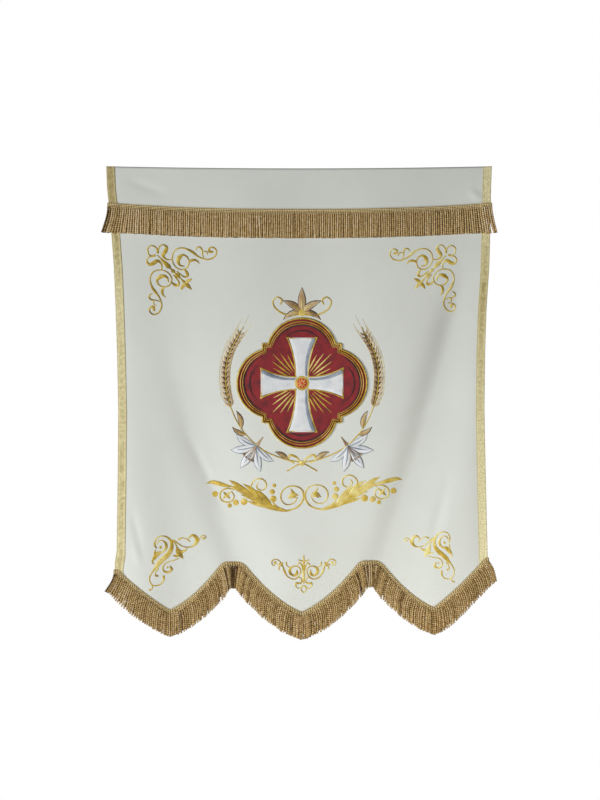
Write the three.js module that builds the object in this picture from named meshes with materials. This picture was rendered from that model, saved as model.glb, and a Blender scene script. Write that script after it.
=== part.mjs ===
// A church banner of ivory cloth that hangs from its top edge. A woven galloon tape runs down each side,
// a fringe hangs across the header, and a second fringe follows the lower edge with its three points.
// Millimetres, +Z up. The front faces -Y and the origin is at the middle of the top edge.
import * as THREE from "three";

// Layers of the sewn cloth, from the back to the front
const clothThickness = 1.5;
const tapeThickness = 1;
const headingThickness = 2;
const sewnGap = 0.35;

// Widths in the plane of the cloth
const tapeWidth = 20;
const tapeStep = 8; // the heading keeps its level this far past the tape, then comes down onto the cloth
const headingDepth = 17.5;

// Top edge, and the line along which the header fringe is sewn
const halfWidth = 450;
const topRise = 5; // the corners hang this much above the middle of the top edge
const topFringe = { drop: 94.5, rise: 15, bow: 2.4, strand: 50, leanLeft: 17, leanRight: 9 };
const hemFringe = { strand: 52, leanLeft: 17, leanRight: 13 };
const crowding = { shorter: 7, reach: 38 }; // strands gather in the notches, where they end higher

// Left and right edges of the hung cloth at each height
const sideEdges = [
  { z: 6, left: -450, right: 448 },
  { z: -46, left: -448, right: 446 },
  { z: -110, left: -441, right: 445 },
  { z: -232, left: -432, right: 443 },
  { z: -423, left: -425, right: 437 },
  { z: -560, left: -423, right: 434 },
  { z: -700, left: -425, right: 437 },
  { z: -890, left: -427, right: 441 },
  { z: -920, left: -431, right: 442 },
];

// Lower edge from left to right: the ends, the three points and the two notches between them
const hemTurns = [
  { kind: "end", x: -431, z: -918 },
  { kind: "point", x: -306, z: -1021 },
  { kind: "notch", x: -157, z: -917 },
  { kind: "point", x: 6, z: -1030 },
  { kind: "notch", x: 166, z: -914 },
  { kind: "point", x: 313, z: -1023 },
  { kind: "end", x: 442, z: -915 },
];
// How the edge drops from an end or a notch to a point: the level share, and the power of its curve
const hemDrops = {
  end: { level: 0, power: 1.15, steps: [0.34, 0.68] },
  notch: { level: 0.12, power: 1.5, steps: [0.12, 0.28, 0.5, 0.76] },
};

// Soft troughs (positive depth) and ridges (negative depth) of the hang. Each follows a line that goes down
// from its top to its foot, both given as [x, z], with its width to either side of that line. It reaches its
// depth after the share "rise" of its line, and "keeps" this share of that depth at its foot.
const folds = [
  { top: [406, -170], foot: [196, -914], bend: 1.1, depth: 12, left: 38, right: 95, rise: 0.3, keeps: 0.6 },
  { top: [-325, -270], foot: [-139, -917], bend: 1.3, depth: 8, left: 42, right: 80, rise: 0.8, keeps: 1 },
  { top: [-400, -480], foot: [-306, -1021], bend: 1, depth: -5, left: 70, right: 60, rise: 0.8, keeps: 1 },
  { top: [90, -450], foot: [6, -1030], bend: 1, depth: -5, left: 90, right: 90, rise: 0.8, keeps: 1 },
  { top: [420, -480], foot: [325, -1023], bend: 1, depth: -4, left: 60, right: 70, rise: 0.8, keeps: 1 },
  { top: [-441, -110], foot: [-431, -918], bend: 1, depth: 3, left: 40, right: 34, rise: 0.5, keeps: 1 },
  { top: [445, -110], foot: [442, -915], bend: 1, depth: 4, left: 32, right: 40, rise: 0.5, keeps: 1 },
];
const headerWave = { depth: 1.6, length: 310, shift: 0.7 }; // slight waves held by the header fringe

// Fringe strands
const strandPitch = 6.75;
const strandFill = 0.84; // share of the pitch that is yarn
const strandThickness = 4.2;
const strandClear = 1.8; // air between a hanging strand and the cloth
const strandLean = 0.3; // share of the heading's own slope that its strands lean by
const endReach = 55; // the outer strands fan out over this width
const leanNeighbours = 4; // a strand's lean is evened out with this many on either side
const yarnUneven = { lean: 0.8, length: 1.2 };
const strandRings = [
  { along: 0.45, width: 1, thickness: 1 },
  { along: 1, width: 0.8, thickness: 0.75 },
];

const slopeReach = 6; // a line's slope is taken over this distance to either side
const headerRows = 3;
const bodyRows = 15;

const lerp = THREE.MathUtils.lerp;
const clamp = THREE.MathUtils.clamp;

// A repeatable number between -1 and 1 for each seed, for the unevenness of hand-sewn yarn
function uneven(seed) {
  const wave = Math.sin(seed * 12.9898 + 4.1) * 43758.5453;
  return 2 * (wave - Math.floor(wave)) - 1;
}

function sideEdge(side, z) {
  const next = sideEdges.findIndex((row) => row.z < z);
  if (next === 0) return sideEdges[0][side];
  if (next < 0) return sideEdges.at(-1)[side];
  const above = sideEdges[next - 1];
  const below = sideEdges[next];
  return lerp(above[side], below[side], (above.z - z) / (above.z - below.z));
}

function topEdge(x) {
  return topRise * (x / halfWidth) ** 2;
}

function headerLine(x) {
  return topFringe.rise * Math.abs(x / halfWidth) ** topFringe.bow - topFringe.drop;
}

// Height of the lower edge, where the top of its fringe heading runs
function hemLine(x) {
  const last = hemTurns.length - 1;
  const found = hemTurns.findIndex((turn) => turn.x >= x);
  const right = found < 0 ? last : Math.max(found, 1);
  const pair = [hemTurns[right - 1], hemTurns[right]];
  const point = pair.find((turn) => turn.kind === "point");
  const high = pair.find((turn) => turn.kind !== "point");
  const drop = hemDrops[high.kind];
  const share = clamp((x - high.x) / (point.x - high.x), 0, 1);
  const run = Math.max(0, (share - drop.level) / (1 - drop.level));
  return lerp(high.z, point.z, 1 - (1 - run) ** drop.power);
}

// How far back the cloth lies at a place, as the sum of its folds
function foldAt(x, z) {
  const wave = headerWave.depth * Math.sin((2 * Math.PI * x) / headerWave.length + headerWave.shift);
  let y = wave * clamp(-z / topFringe.drop, 0, 1);
  for (const fold of folds) {
    const [[topX, topZ], [footX, footZ]] = [fold.top, fold.foot];
    const down = clamp((topZ - z) / (topZ - footZ), 0, 1);
    const lineX = lerp(topX, footX, down ** fold.bend);
    const strength = THREE.MathUtils.smoothstep(down, 0, fold.rise) * lerp(1, fold.keeps, down);
    const width = x < lineX ? fold.left : fold.right;
    y += fold.depth * strength * Math.exp(-(((x - lineX) / width) ** 2));
  }
  return y;
}

// Columns of the cloth: the tapes' edges first, then a column at each turn and step of the lower edge
function makeColumns() {
  const left = hemTurns[0].x;
  const right = hemTurns.at(-1).x;
  const columns = [0, tapeWidth, tapeWidth + tapeStep].map((shift) => ({ share: 0, shift }));
  for (let i = 1; i < hemTurns.length; i++) {
    const [a, b] = [hemTurns[i - 1], hemTurns[i]];
    const high = a.kind === "point" ? b : a;
    const point = a.kind === "point" ? a : b;
    const places = [0, ...hemDrops[high.kind].steps, 1].map((step) => lerp(high.x, point.x, step));
    places.sort((p, q) => p - q);
    const first = i === 1 ? 1 : 0;
    const ends = places.length - 1;
    for (const x of places.slice(first, ends)) {
      columns.push({ share: (x - left) / (right - left), shift: 0 });
    }
  }
  for (const shift of [tapeWidth + tapeStep, tapeWidth, 0]) columns.push({ share: 1, shift: -shift });
  return columns;
}
const columns = makeColumns();
const lastColumn = columns.length - 1;

function columnX(column, zLeft, zRight) {
  return lerp(sideEdge("left", zLeft), sideEdge("right", zRight), column.share) + column.shift;
}

// A row of points across the cloth whose height is a function of x
function rowAlong(line) {
  const zLeft = line(-halfWidth);
  const zRight = line(halfWidth);
  return columns.map((column) => {
    const x = columnX(column, zLeft, zRight);
    return { x, z: line(x) };
  });
}

function withFold(row) {
  return row.map((p) => ({ ...p, y: foldAt(p.x, p.z) }));
}

// The lower edge of the heading below a row, square to the row's own line, with the same folds
function headingFoot(row, line) {
  return row.map((p) => {
    const slope = (line(p.x + slopeReach) - line(p.x - slopeReach)) / (2 * slopeReach);
    const length = Math.hypot(slope, 1);
    return {
      x: p.x + (headingDepth * slope) / length,
      z: p.z - headingDepth / length,
      y: p.y,
    };
  });
}

// All rows of the cloth from its top edge down, with the rows that carry the two headings
function makeRows() {
  const rows = [];
  for (let i = 0; i < headerRows; i++) {
    const line = (x) => lerp(topEdge(x), headerLine(x), i / headerRows);
    rows.push(withFold(rowAlong(line)));
  }
  const header = withFold(rowAlong(headerLine));
  const headerFoot = header.map((p) => ({ ...p, z: p.z - headingDepth }));
  const tipDrop = headingDepth + topFringe.strand + strandThickness;
  const tips = header.map((p, c) => ({
    x: columnX(columns[c], header[0].z - tipDrop, header[lastColumn].z - tipDrop),
    z: p.z - tipDrop,
    y: p.y,
  }));
  rows.push(header, headerFoot, tips);

  const hem = withFold(rowAlong(hemLine));
  for (let i = 1; i < bodyRows; i++) {
    const share = i / bodyRows;
    const heights = columns.map((_, c) => lerp(tips[c].z, hem[c].z, share));
    const row = columns.map((column, c) => ({
      x: columnX(column, heights[0], heights[lastColumn]),
      z: heights[c],
    }));
    rows.push(withFold(row));
  }
  const hemFoot = headingFoot(hem, hemLine);
  rows.push(hem, hemFoot);
  return { rows, header, headerFoot, hem, hemFoot };
}
const cloth = makeRows();

// A closed shell gathered point by point and face by face
class Shell {
  points = [];
  faces = [];

  point(x, y, z) {
    this.points.push(x, y, z);
    return this.points.length / 3 - 1;
  }

  triangle(a, b, c) {
    this.faces.push(a, b, c);
  }

  // Corners run counterclockwise seen from outside; the split runs from the first to the third
  quad(a, b, c, d) {
    this.triangle(a, b, c);
    this.triangle(a, c, d);
  }

  geometry() {
    const geometry = new THREE.BufferGeometry();
    geometry.setAttribute("position", new THREE.Float32BufferAttribute(this.points, 3));
    geometry.setIndex(this.faces);
    geometry.computeVertexNormals();
    return geometry;
  }
}

// A sheet over some columns of the cloth's rows: front and back lie the given distances from its middle
function sheet(firstColumn, endColumn, front, back) {
  const shell = new Shell();
  const grid = cloth.rows.map((row) =>
    row.slice(firstColumn, endColumn + 1).map((p) => ({
      front: shell.point(p.x, p.y - front, p.z),
      back: shell.point(p.x, p.y - back, p.z),
    })),
  );
  const ends = grid[0].length - 1;
  for (let r = 1; r < grid.length; r++) {
    const [upper, lower] = [grid[r - 1], grid[r]];
    for (let c = 1; c <= ends; c++) {
      const [a, b, d, e] = [upper[c - 1], lower[c - 1], lower[c], upper[c]];
      shell.quad(a.front, b.front, d.front, e.front);
      shell.triangle(a.back, d.back, b.back);
      shell.triangle(a.back, e.back, d.back);
    }
    shell.quad(upper[0].back, lower[0].back, lower[0].front, upper[0].front);
    shell.quad(upper[ends].front, lower[ends].front, lower[ends].back, upper[ends].back);
  }
  const [top, foot] = [grid[0], grid.at(-1)];
  for (let c = 1; c <= ends; c++) {
    shell.quad(top[c - 1].back, top[c - 1].front, top[c].front, top[c].back);
    shell.quad(foot[c].back, foot[c].front, foot[c - 1].front, foot[c - 1].back);
  }
  return shell.geometry();
}

const clothFront = clothThickness / 2;
const tapeBack = clothFront + sewnGap;
const tapeFront = tapeBack + tapeThickness;

// How far the heading's back stands off the middle of the cloth: over a tape, or straight on the cloth
function headingBack(c) {
  const overTape = c < 3 || c > lastColumn - 3;
  return (overTape ? tapeFront : clothFront) + sewnGap;
}

// Roots of the strands between two neighbouring columns, as shares of the way across
function strandRoots(upper, lower, c) {
  const top = Math.hypot(upper[c].x - upper[c - 1].x, upper[c].z - upper[c - 1].z);
  const foot = Math.hypot(lower[c].x - lower[c - 1].x, lower[c].z - lower[c - 1].z);
  const count = Math.max(1, Math.round((top + foot) / 2 / strandPitch));
  const gap = (1 - strandFill) / 2;
  return Array.from({ length: count }, (_, k) => ({
    from: (k + gap) / count,
    to: (k + 1 - gap) / count,
  }));
}

function between(a, b, share) {
  return {
    x: lerp(a.x, b.x, share),
    y: lerp(a.y, b.y, share),
    z: lerp(a.z, b.z, share),
    off: lerp(a.off, b.off, share),
  };
}

// How near a place lies to a notch of the lower edge, from 0 to 1
function notchNearness(x) {
  const notches = hemTurns.filter((turn) => turn.kind === "notch");
  return Math.max(...notches.map((turn) => Math.exp(-(((x - turn.x) / crowding.reach) ** 2))));
}

// Strands along a heading's foot: where each starts, which way it leans and how long it is
function makeStrands(upper, lower, fringe) {
  const strands = [];
  for (let c = 1; c <= lastColumn; c++) {
    for (const root of strandRoots(upper, lower, c)) {
      const left = between(lower[c - 1], lower[c], root.from);
      const right = between(lower[c - 1], lower[c], root.to);
      strands.push({ c, left, right, middle: between(left, right, 0.5) });
    }
  }
  const first = strands[0].middle.x;
  const last = strands.at(-1).middle.x;
  for (const strand of strands) {
    strand.slope = Math.atan2(strand.right.z - strand.left.z, strand.right.x - strand.left.x);
  }
  strands.forEach((strand, i) => {
    const near = strands.slice(Math.max(0, i - leanNeighbours), i + leanNeighbours + 1);
    const slope = near.reduce((sum, one) => sum + one.slope, 0) / near.length;
    const fanLeft = Math.exp(-(((strand.middle.x - first) / endReach) ** 2));
    const fanRight = Math.exp(-(((strand.middle.x - last) / endReach) ** 2));
    const fan = fringe.leanRight * fanRight - fringe.leanLeft * fanLeft;
    const lean = slope * strandLean + THREE.MathUtils.degToRad(fan + yarnUneven.lean * uneven(i));
    strand.way = { x: Math.sin(lean), z: -Math.cos(lean) };
    const crowded = fringe === hemFringe ? crowding.shorter * notchNearness(strand.middle.x) : 0;
    strand.length = fringe.strand - crowded + yarnUneven.length * uneven(strands.length + i);
  });
  return strands;
}

// Half of the yarn's width at a ring, from the distance to the nearer of its two neighbours
function ringHalfWidth(strands, i, along) {
  const here = strands[i];
  const centre = (one) => ({
    x: one.middle.x + one.way.x * one.length * along,
    z: one.middle.z + one.way.z * one.length * along,
  });
  const p = centre(here);
  const gaps = [strands[i - 1], strands[i + 1]]
    .filter(Boolean)
    .map(centre)
    .map((q) => Math.abs((q.x - p.x) * here.way.z - (q.z - p.z) * here.way.x));
  return (Math.min(...gaps, strandPitch) * strandFill) / 2;
}

// A heading strip with its strands: one shell, whose strands grow out of the strip's lower face
function fringeGeometry(upperRow, lowerRow, fringe) {
  const shell = new Shell();
  const upper = upperRow.map((p, c) => ({ ...p, off: headingBack(c) }));
  const lower = lowerRow.map((p, c) => ({ ...p, off: headingBack(c) }));
  const edgePoint = (p) => ({
    front: shell.point(p.x, p.y - p.off - headingThickness, p.z),
    back: shell.point(p.x, p.y - p.off, p.z),
  });
  const top = upper.map(edgePoint);
  const foot = lower.map(edgePoint);
  const strands = makeStrands(upper, lower, fringe);

  for (let c = 1; c <= lastColumn; c++) {
    const mine = strands.map((strand, i) => ({ strand, i })).filter((one) => one.strand.c === c);
    const stops = [foot[c - 1]];
    for (const { strand, i } of mine) {
      const root = { left: edgePoint(strand.left), right: edgePoint(strand.right) };
      stops.push(root.left, root.right);
      addStrand(shell, strands, i, root);
    }
    stops.push(foot[c]);
    for (let k = 1; k < stops.length; k++) {
      const [a, b] = [stops[k - 1], stops[k]];
      shell.triangle(top[c - 1].front, a.front, b.front);
      shell.triangle(top[c - 1].back, b.back, a.back);
      const yarn = k % 2 === 0;
      if (!yarn) shell.quad(b.back, b.front, a.front, a.back);
    }
    shell.triangle(top[c - 1].front, foot[c].front, top[c].front);
    shell.triangle(top[c - 1].back, top[c].back, foot[c].back);
    shell.quad(top[c - 1].back, top[c - 1].front, top[c].front, top[c].back);
  }
  shell.quad(top[0].back, foot[0].back, foot[0].front, top[0].front);
  const ends = [top[lastColumn], foot[lastColumn]];
  shell.quad(ends[0].front, ends[1].front, ends[1].back, ends[0].back);
  return shell.geometry();
}

// One four-sided strand below its root, thickest in the middle and drawn in at its tip
function addStrand(shell, strands, i, root) {
  const strand = strands[i];
  const { middle, way } = strand;
  const back = Math.max(middle.off, clothFront + strandClear);
  let above = [root.left.front, root.right.front, root.right.back, root.left.back];
  for (const ring of strandRings) {
    const reach = strand.length * ring.along;
    const half = ringHalfWidth(strands, i, ring.along) * ring.width;
    const centre = { x: middle.x + way.x * reach, z: middle.z + way.z * reach };
    const side = { x: -way.z * half, z: way.x * half };
    const backY = middle.y - back - (strandThickness * (1 - ring.thickness)) / 2;
    const frontY = backY - strandThickness * ring.thickness;
    const corner = (sign, y) => shell.point(centre.x + sign * side.x, y, centre.z + sign * side.z);
    const below = [corner(-1, frontY), corner(1, frontY), corner(1, backY), corner(-1, backY)];
    for (let k = 0; k < 4; k++) {
      const next = (k + 1) % 4;
      shell.quad(above[k], below[k], below[next], above[next]);
    }
    above = below;
  }
  shell.quad(above[3], above[2], above[1], above[0]);
}

const ivoryCloth = new THREE.MeshStandardMaterial({ color: 0xdcdcd0, roughness: 0.85, metalness: 0 });
const goldTape = new THREE.MeshStandardMaterial({ color: 0xcdbd84, roughness: 0.5, metalness: 0.3 });
const beigeYarn = new THREE.MeshStandardMaterial({ color: 0xa38a60, roughness: 0.7, metalness: 0 });

function piece(name, geometry, material) {
  const mesh = new THREE.Mesh(geometry, material.clone());
  mesh.name = name;
  return mesh;
}

const tapes = [
  { name: "galloon_left", from: 0, to: 1 },
  { name: "galloon_right", from: lastColumn - 1, to: lastColumn },
];
const banner = new THREE.Group();
banner.add(piece("panel", sheet(0, lastColumn, clothFront, -clothFront), ivoryCloth));
for (const tape of tapes) {
  banner.add(piece(tape.name, sheet(tape.from, tape.to, tapeFront, tapeBack), goldTape));
}
banner.add(piece("fringe_top", fringeGeometry(cloth.header, cloth.headerFoot, topFringe), beigeYarn));
banner.add(piece("fringe_hem", fringeGeometry(cloth.hem, cloth.hemFoot, hemFringe), beigeYarn));

export default banner;
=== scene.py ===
import math
import random

import bpy
import numpy as np
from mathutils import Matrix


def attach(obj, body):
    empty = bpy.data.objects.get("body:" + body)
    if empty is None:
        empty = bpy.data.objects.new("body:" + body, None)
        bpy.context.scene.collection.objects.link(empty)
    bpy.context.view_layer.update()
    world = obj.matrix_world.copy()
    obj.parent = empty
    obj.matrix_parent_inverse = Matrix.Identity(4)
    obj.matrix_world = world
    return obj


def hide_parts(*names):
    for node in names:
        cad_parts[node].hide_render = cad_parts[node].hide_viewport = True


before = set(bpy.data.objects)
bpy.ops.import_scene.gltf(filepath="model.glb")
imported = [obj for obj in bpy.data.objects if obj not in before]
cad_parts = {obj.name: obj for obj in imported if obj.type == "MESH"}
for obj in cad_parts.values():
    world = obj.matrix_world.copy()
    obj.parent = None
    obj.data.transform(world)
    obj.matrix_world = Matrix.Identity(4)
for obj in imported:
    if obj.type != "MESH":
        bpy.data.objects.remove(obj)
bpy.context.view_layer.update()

mm = 0.001
dice = random.Random(11)


# The shape of the hung cloth, which every piece follows

hang = {
    "halfWidth": 450,
    "topRise": 5,  # the corners hang this much above the middle of the top edge
    "headerDrop": 94.5,  # the header fringe is sewn this far below the top edge
    "headerRise": 15,
    "headerBow": 2.4,
    "headerWave": {"depth": 1.6, "length": 310, "shift": 0.7},
    "thickness": 1.5,
}

# Height, left edge and right edge
sideEdges = np.array([
    (6, -450, 448),
    (-46, -448, 446),
    (-110, -441, 445),
    (-232, -432, 442),
    (-330, -428, 436),
    (-423, -425, 433),
    (-560, -422, 431),
    (-700, -423, 433.5),
    (-890, -425.5, 438),
    (-920, -430, 439),
])

# The lower edge from left to right: kind, x and z
hemTurns = [
    ("end", -431, -934),
    ("point", -301, -1028),
    ("notch", -157, -916),
    ("point", 6, -1033),
    ("notch", 166, -913),
    ("point", 313, -1022),
    ("end", 442, -906),
]
# Its turns are rounded by the mean of these shifts, the points less than the notches
hemRounding = (-12, -6, 0, 6, 12)
hemRoundness = {"end": 0.4, "point": 0.3, "notch": 0.85}
hemDrops = {"end": {"level": 0.06, "bulge": 0.2}, "notch": {"level": 0.15, "bulge": 0.5}}

# Soft troughs (depth above 0) and ridges of the hang, each along a line from its top to its foot
folds = [
    {"top": (406, -170), "foot": (196, -914), "bend": 1.1, "depth": 12.5, "left": 38, "right": 95,
     "rise": 0.3, "keeps": 0.6},
    {"top": (-325, -270), "foot": (-139, -917), "bend": 1.3, "depth": 8, "left": 42, "right": 80,
     "rise": 0.8, "keeps": 1},
    {"top": (-400, -480), "foot": (-346, -1021), "bend": 1, "depth": -6, "left": 70, "right": 60,
     "rise": 0.8, "keeps": 1},
    {"top": (80, -450), "foot": (-34, -1030), "bend": 1, "depth": -5, "left": 90, "right": 90,
     "rise": 0.8, "keeps": 1},
    {"top": (420, -480), "foot": (325, -1023), "bend": 1, "depth": -4, "left": 60, "right": 70,
     "rise": 0.8, "keeps": 1},
    {"top": (-441, -110), "foot": (-431, -918), "bend": 1, "depth": 3, "left": 40, "right": 34,
     "rise": 0.5, "keeps": 1},
    {"top": (445, -110), "foot": (442, -915), "bend": 1, "depth": 4, "left": 32, "right": 40,
     "rise": 0.5, "keeps": 1},
]

# Fine creases between two places, with their depth and width
creases = [
    {"from": (187, -616), "to": (327, -546), "depth": 1.9, "width": 11},
    {"from": (-278, -586), "to": (-162, -826), "depth": 1.6, "width": 10},
    {"from": (-395, -779), "to": (-364, -905), "depth": 1.7, "width": 9},
    {"from": (-406, -27), "to": (-302, -62), "depth": 1.5, "width": 9},
    {"from": (392, -48), "to": (428, -78), "depth": -1.5, "width": 8},
    {"from": (-386, -860), "to": (-372, -934), "depth": -1.4, "width": 8},
    {"from": (352, -700), "to": (300, -905), "depth": 1.7, "width": 13},
]


def smoothStep(value):
    value = np.clip(value, 0, 1)
    return value * value * (3 - 2 * value)


def sideEdge(side, z):
    column = {"left": 1, "right": 2}[side]
    return np.interp(z, sideEdges[::-1, 0], sideEdges[::-1, column])


def topEdge(x):
    return hang["topRise"] * (np.asarray(x, float) / hang["halfWidth"]) ** 2


def headerLine(x):
    share = np.abs(np.asarray(x, float) / hang["halfWidth"])
    return hang["headerRise"] * share ** hang["headerBow"] - hang["headerDrop"]


def cutLine(x):
    z = np.full(x.shape, float(hemTurns[0][2]))
    for a, b in zip(hemTurns, hemTurns[1:]):
        point, high = (a, b) if a[0] == "point" else (b, a)
        drop = hemDrops[high[0]]
        share = np.clip((x - high[1]) / (point[1] - high[1]), 0, 1)
        run = np.maximum(0, (share - drop["level"]) / (1 - drop["level"]))
        height = high[2] + (point[2] - high[2]) * run * (1 + drop["bulge"] * (1 - run))
        z = np.where(x >= a[1], height, z)
    return z


def hemLine(x):
    x = np.asarray(x, float)
    roundness = np.interp(x, [turn[1] for turn in hemTurns], [hemRoundness[turn[0]] for turn in hemTurns])
    return sum(cutLine(x + shift * roundness) for shift in hemRounding) / len(hemRounding)


# How far back the cloth lies at a place
def foldAt(x, z):
    x, z = np.broadcast_arrays(np.asarray(x, float), np.asarray(z, float))
    wave = hang["headerWave"]
    y = wave["depth"] * np.sin(2 * math.pi * x / wave["length"] + wave["shift"])
    y = y * np.clip(-z / hang["headerDrop"], 0, 1)
    for fold in folds:
        (topX, topZ), (footX, footZ) = fold["top"], fold["foot"]
        down = np.clip((topZ - z) / (topZ - footZ), 0, 1)
        lineX = topX + (footX - topX) * down ** fold["bend"]
        strength = smoothStep(down / fold["rise"]) * (1 + (fold["keeps"] - 1) * down)
        width = np.where(x < lineX, fold["left"], fold["right"])
        y = y + fold["depth"] * strength * np.exp(-(((x - lineX) / width) ** 2))
    for crease in creases:
        start, end = np.array(crease["from"], float), np.array(crease["to"], float)
        run = end - start
        length = math.hypot(*run)
        along = ((x - start[0]) * run[0] + (z - start[1]) * run[1]) / length ** 2
        across = ((x - start[0]) * run[1] - (z - start[1]) * run[0]) / length
        window = np.sin(math.pi * np.clip(along, 0, 1)) ** 1.2
        y = y + crease["depth"] * window * np.exp(-((across / crease["width"]) ** 2))
    return y


frontOff = hang["thickness"] / 2  # the cloth's front lies this far before its middle


# Meshes

def meshObject(name, points, faces, material, uv=None, tone=None, smooth=True):
    mesh = bpy.data.meshes.new(name)
    mesh.from_pydata((np.asarray(points, float) * mm).tolist(), [], faces)
    if uv is not None:
        layer = mesh.uv_layers.new(name="UVMap")
        corners = np.empty(len(mesh.loops), np.int32)
        mesh.loops.foreach_get("vertex_index", corners)
        layer.data.foreach_set("uv", (np.asarray(uv, float) * mm)[corners].ravel())
    if tone is not None:
        values = mesh.attributes.new("tone", "FLOAT", "POINT")
        values.data.foreach_set("value", np.asarray(tone, float))
    mesh.polygons.foreach_set("use_smooth", [smooth] * len(mesh.polygons))
    mesh.materials.append(material)
    mesh.update()
    piece = bpy.data.objects.new(name, mesh)
    bpy.context.scene.collection.objects.link(piece)
    return piece


# A closed thin sheet from the points of its front and its back, rows going down and columns to the right
def gridShell(front, back):
    rows, columns = front.shape[:2]
    number = np.arange(rows * columns).reshape(rows, columns)
    shift = rows * columns
    a, b, d, e = number[:-1, :-1], number[1:, :-1], number[1:, 1:], number[:-1, 1:]
    faces = np.stack([a, b, d, e], -1).reshape(-1, 4).tolist()
    faces += (np.stack([a, e, d, b], -1).reshape(-1, 4) + shift).tolist()
    rim = np.concatenate([number[0, :], number[1:, -1], number[-1, -2::-1], number[-2:0:-1, 0]])
    after = np.roll(rim, -1)
    faces += np.stack([rim, after, after + shift, rim + shift], -1).tolist()
    points = np.concatenate([front.reshape(-1, 3), back.reshape(-1, 3)])
    return points, faces


# Materials

def srgb(hexColour):
    parts = [int(hexColour[i:i + 2], 16) / 255 for i in (1, 3, 5)]
    return tuple(p / 12.92 if p <= 0.04045 else ((p + 0.055) / 1.055) ** 2.4 for p in parts) + (1,)


# Adds a node. "inputs" has a value, or the socket that feeds it, for each socket's name or number, or is a
# row of them in the sockets' order. "out" is the output to give back instead of the node.
def addNode(tree, kind, inputs=None, out=None, **settings):
    node = tree.nodes.new(kind)
    for name, value in settings.items():
        setattr(node, name, value)
    given = inputs if isinstance(inputs, dict) else dict(enumerate(inputs or ()))
    for name, value in given.items():
        socket = node.inputs[name]
        if isinstance(value, bpy.types.NodeSocket):
            tree.links.new(value, socket)
        else:
            socket.default_value = value
    return node if out is None else node.outputs[out]


def newMaterial(name):
    material = bpy.data.materials.new(name)
    material.use_nodes = True
    tree = material.node_tree
    tree.nodes.clear()
    return material, tree


def finishMaterial(tree, inputs):
    shader = addNode(tree, "ShaderNodeBsdfPrincipled", inputs)
    addNode(tree, "ShaderNodeOutputMaterial", {"Surface": shader.outputs["BSDF"]})


# Panel: one sheet of ivory cloth

panelSizes = {
    "grid": 5.6,  # spacing of the mesh's rows and columns
    "height": 1030,
    "base": "#e6e8e1",
    "shade": "#dbddd6",
    "edge": 2.4,  # the top edge is painted darker over this depth, as painted shade
    "edgeShade": "#8f9184",
    "twill": 1.5,  # real gabardine is 0.5 mm from rib to rib, drawn coarser so that it shows close up
    "twillSlant": 27,  # degrees
    "ribShade": "#cfd0c6",
    "roughness": 0.82,
    "flat": (0.90, 1.035),
    "area": 0.862,
}


# Woven polyester gabardine: matt and even, with a steep fine rib and a faint sheen at grazing angles
def clothMaterial():
    material, tree = newMaterial("woven polyester gabardine, ivory")
    place = addNode(tree, "ShaderNodeTexCoord", out="Object")
    uv = addNode(tree, "ShaderNodeUVMap", out="UV", uv_map="UVMap")
    patches = addNode(tree, "ShaderNodeTexNoise", {"Vector": place, "Scale": 5, "Detail": 3}, "Fac")
    colour = addNode(tree, "ShaderNodeMix", {
        0: patches, 6: srgb(panelSizes["base"]), 7: srgb(panelSizes["shade"])}, 2, data_type="RGBA")
    slant = math.radians(panelSizes["twillSlant"])
    across = addNode(tree, "ShaderNodeVectorMath", {
        0: uv, 1: (math.cos(slant), math.sin(slant), 0)}, "Value", operation="DOT_PRODUCT")
    turns = addNode(tree, "ShaderNodeMath", (across, 2 * math.pi / (panelSizes["twill"] * mm)), 0,
                    operation="MULTIPLY")
    rib = addNode(tree, "ShaderNodeMath", (turns,), 0, operation="SINE")
    slubs = addNode(tree, "ShaderNodeTexNoise", {"Vector": place, "Scale": 420, "Detail": 2}, "Fac")
    weave = addNode(tree, "ShaderNodeMath", (rib, 0.35, slubs), 0, operation="MULTIPLY_ADD")
    softWaves = addNode(tree, "ShaderNodeTexNoise", {"Vector": place, "Scale": 22, "Detail": 3}, "Fac")
    ribTone = addNode(tree, "ShaderNodeMath", (rib, 0.05), 0, operation="MULTIPLY")
    colour = addNode(tree, "ShaderNodeMix", {
        0: ribTone, 6: colour, 7: srgb(panelSizes["ribShade"])}, 2, data_type="RGBA")
    # Painted shade: a thin darker line painted along the top edge, where the edge lies in shade
    parts = addNode(tree, "ShaderNodeSeparateXYZ", {0: place})
    square = addNode(tree, "ShaderNodeMath", (parts.outputs["X"], 2), 0, operation="POWER")
    topCurve = addNode(tree, "ShaderNodeMath", (square, hang["topRise"] / hang["halfWidth"] ** 2 / mm), 0,
                       operation="MULTIPLY")
    below = addNode(tree, "ShaderNodeMath", (topCurve, parts.outputs["Z"]), 0, operation="SUBTRACT")
    paintedEdgeShade = addNode(tree, "ShaderNodeMapRange", {
        "Value": below, "From Min": 0.0, "From Max": panelSizes["edge"] * mm,
        "To Min": 0.75, "To Max": 0.0}, "Result")
    colour = addNode(tree, "ShaderNodeMix", {
        0: paintedEdgeShade, 6: colour, 7: srgb(panelSizes["edgeShade"])}, 2, data_type="RGBA")
    wide = addNode(tree, "ShaderNodeBump", {
        "Strength": 0.5, "Distance": 0.9 * mm, "Height": softWaves}, "Normal")
    fine = addNode(tree, "ShaderNodeBump", {
        "Strength": 0.35, "Distance": 0.12 * mm, "Height": weave, "Normal": wide}, "Normal")
    finishMaterial(tree, {
        "Base Color": colour, "Roughness": panelSizes["roughness"], "Normal": fine,
        "Sheen Weight": 0.12, "Sheen Roughness": 0.5, "Specular IOR Level": 0.25})
    return material


# Positions across the lower edge, with one at each of its turns
def edgeShares(spacing):
    turns = [turn[1] for turn in hemTurns]
    shares = [0.0]
    for a, b in zip(turns, turns[1:]):
        count = max(2, round((b - a) / spacing))
        steps = (a + (b - a) * np.arange(1, count + 1) / count - turns[0]) / (turns[-1] - turns[0])
        shares += steps.tolist()
    return np.array(shares)


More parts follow.
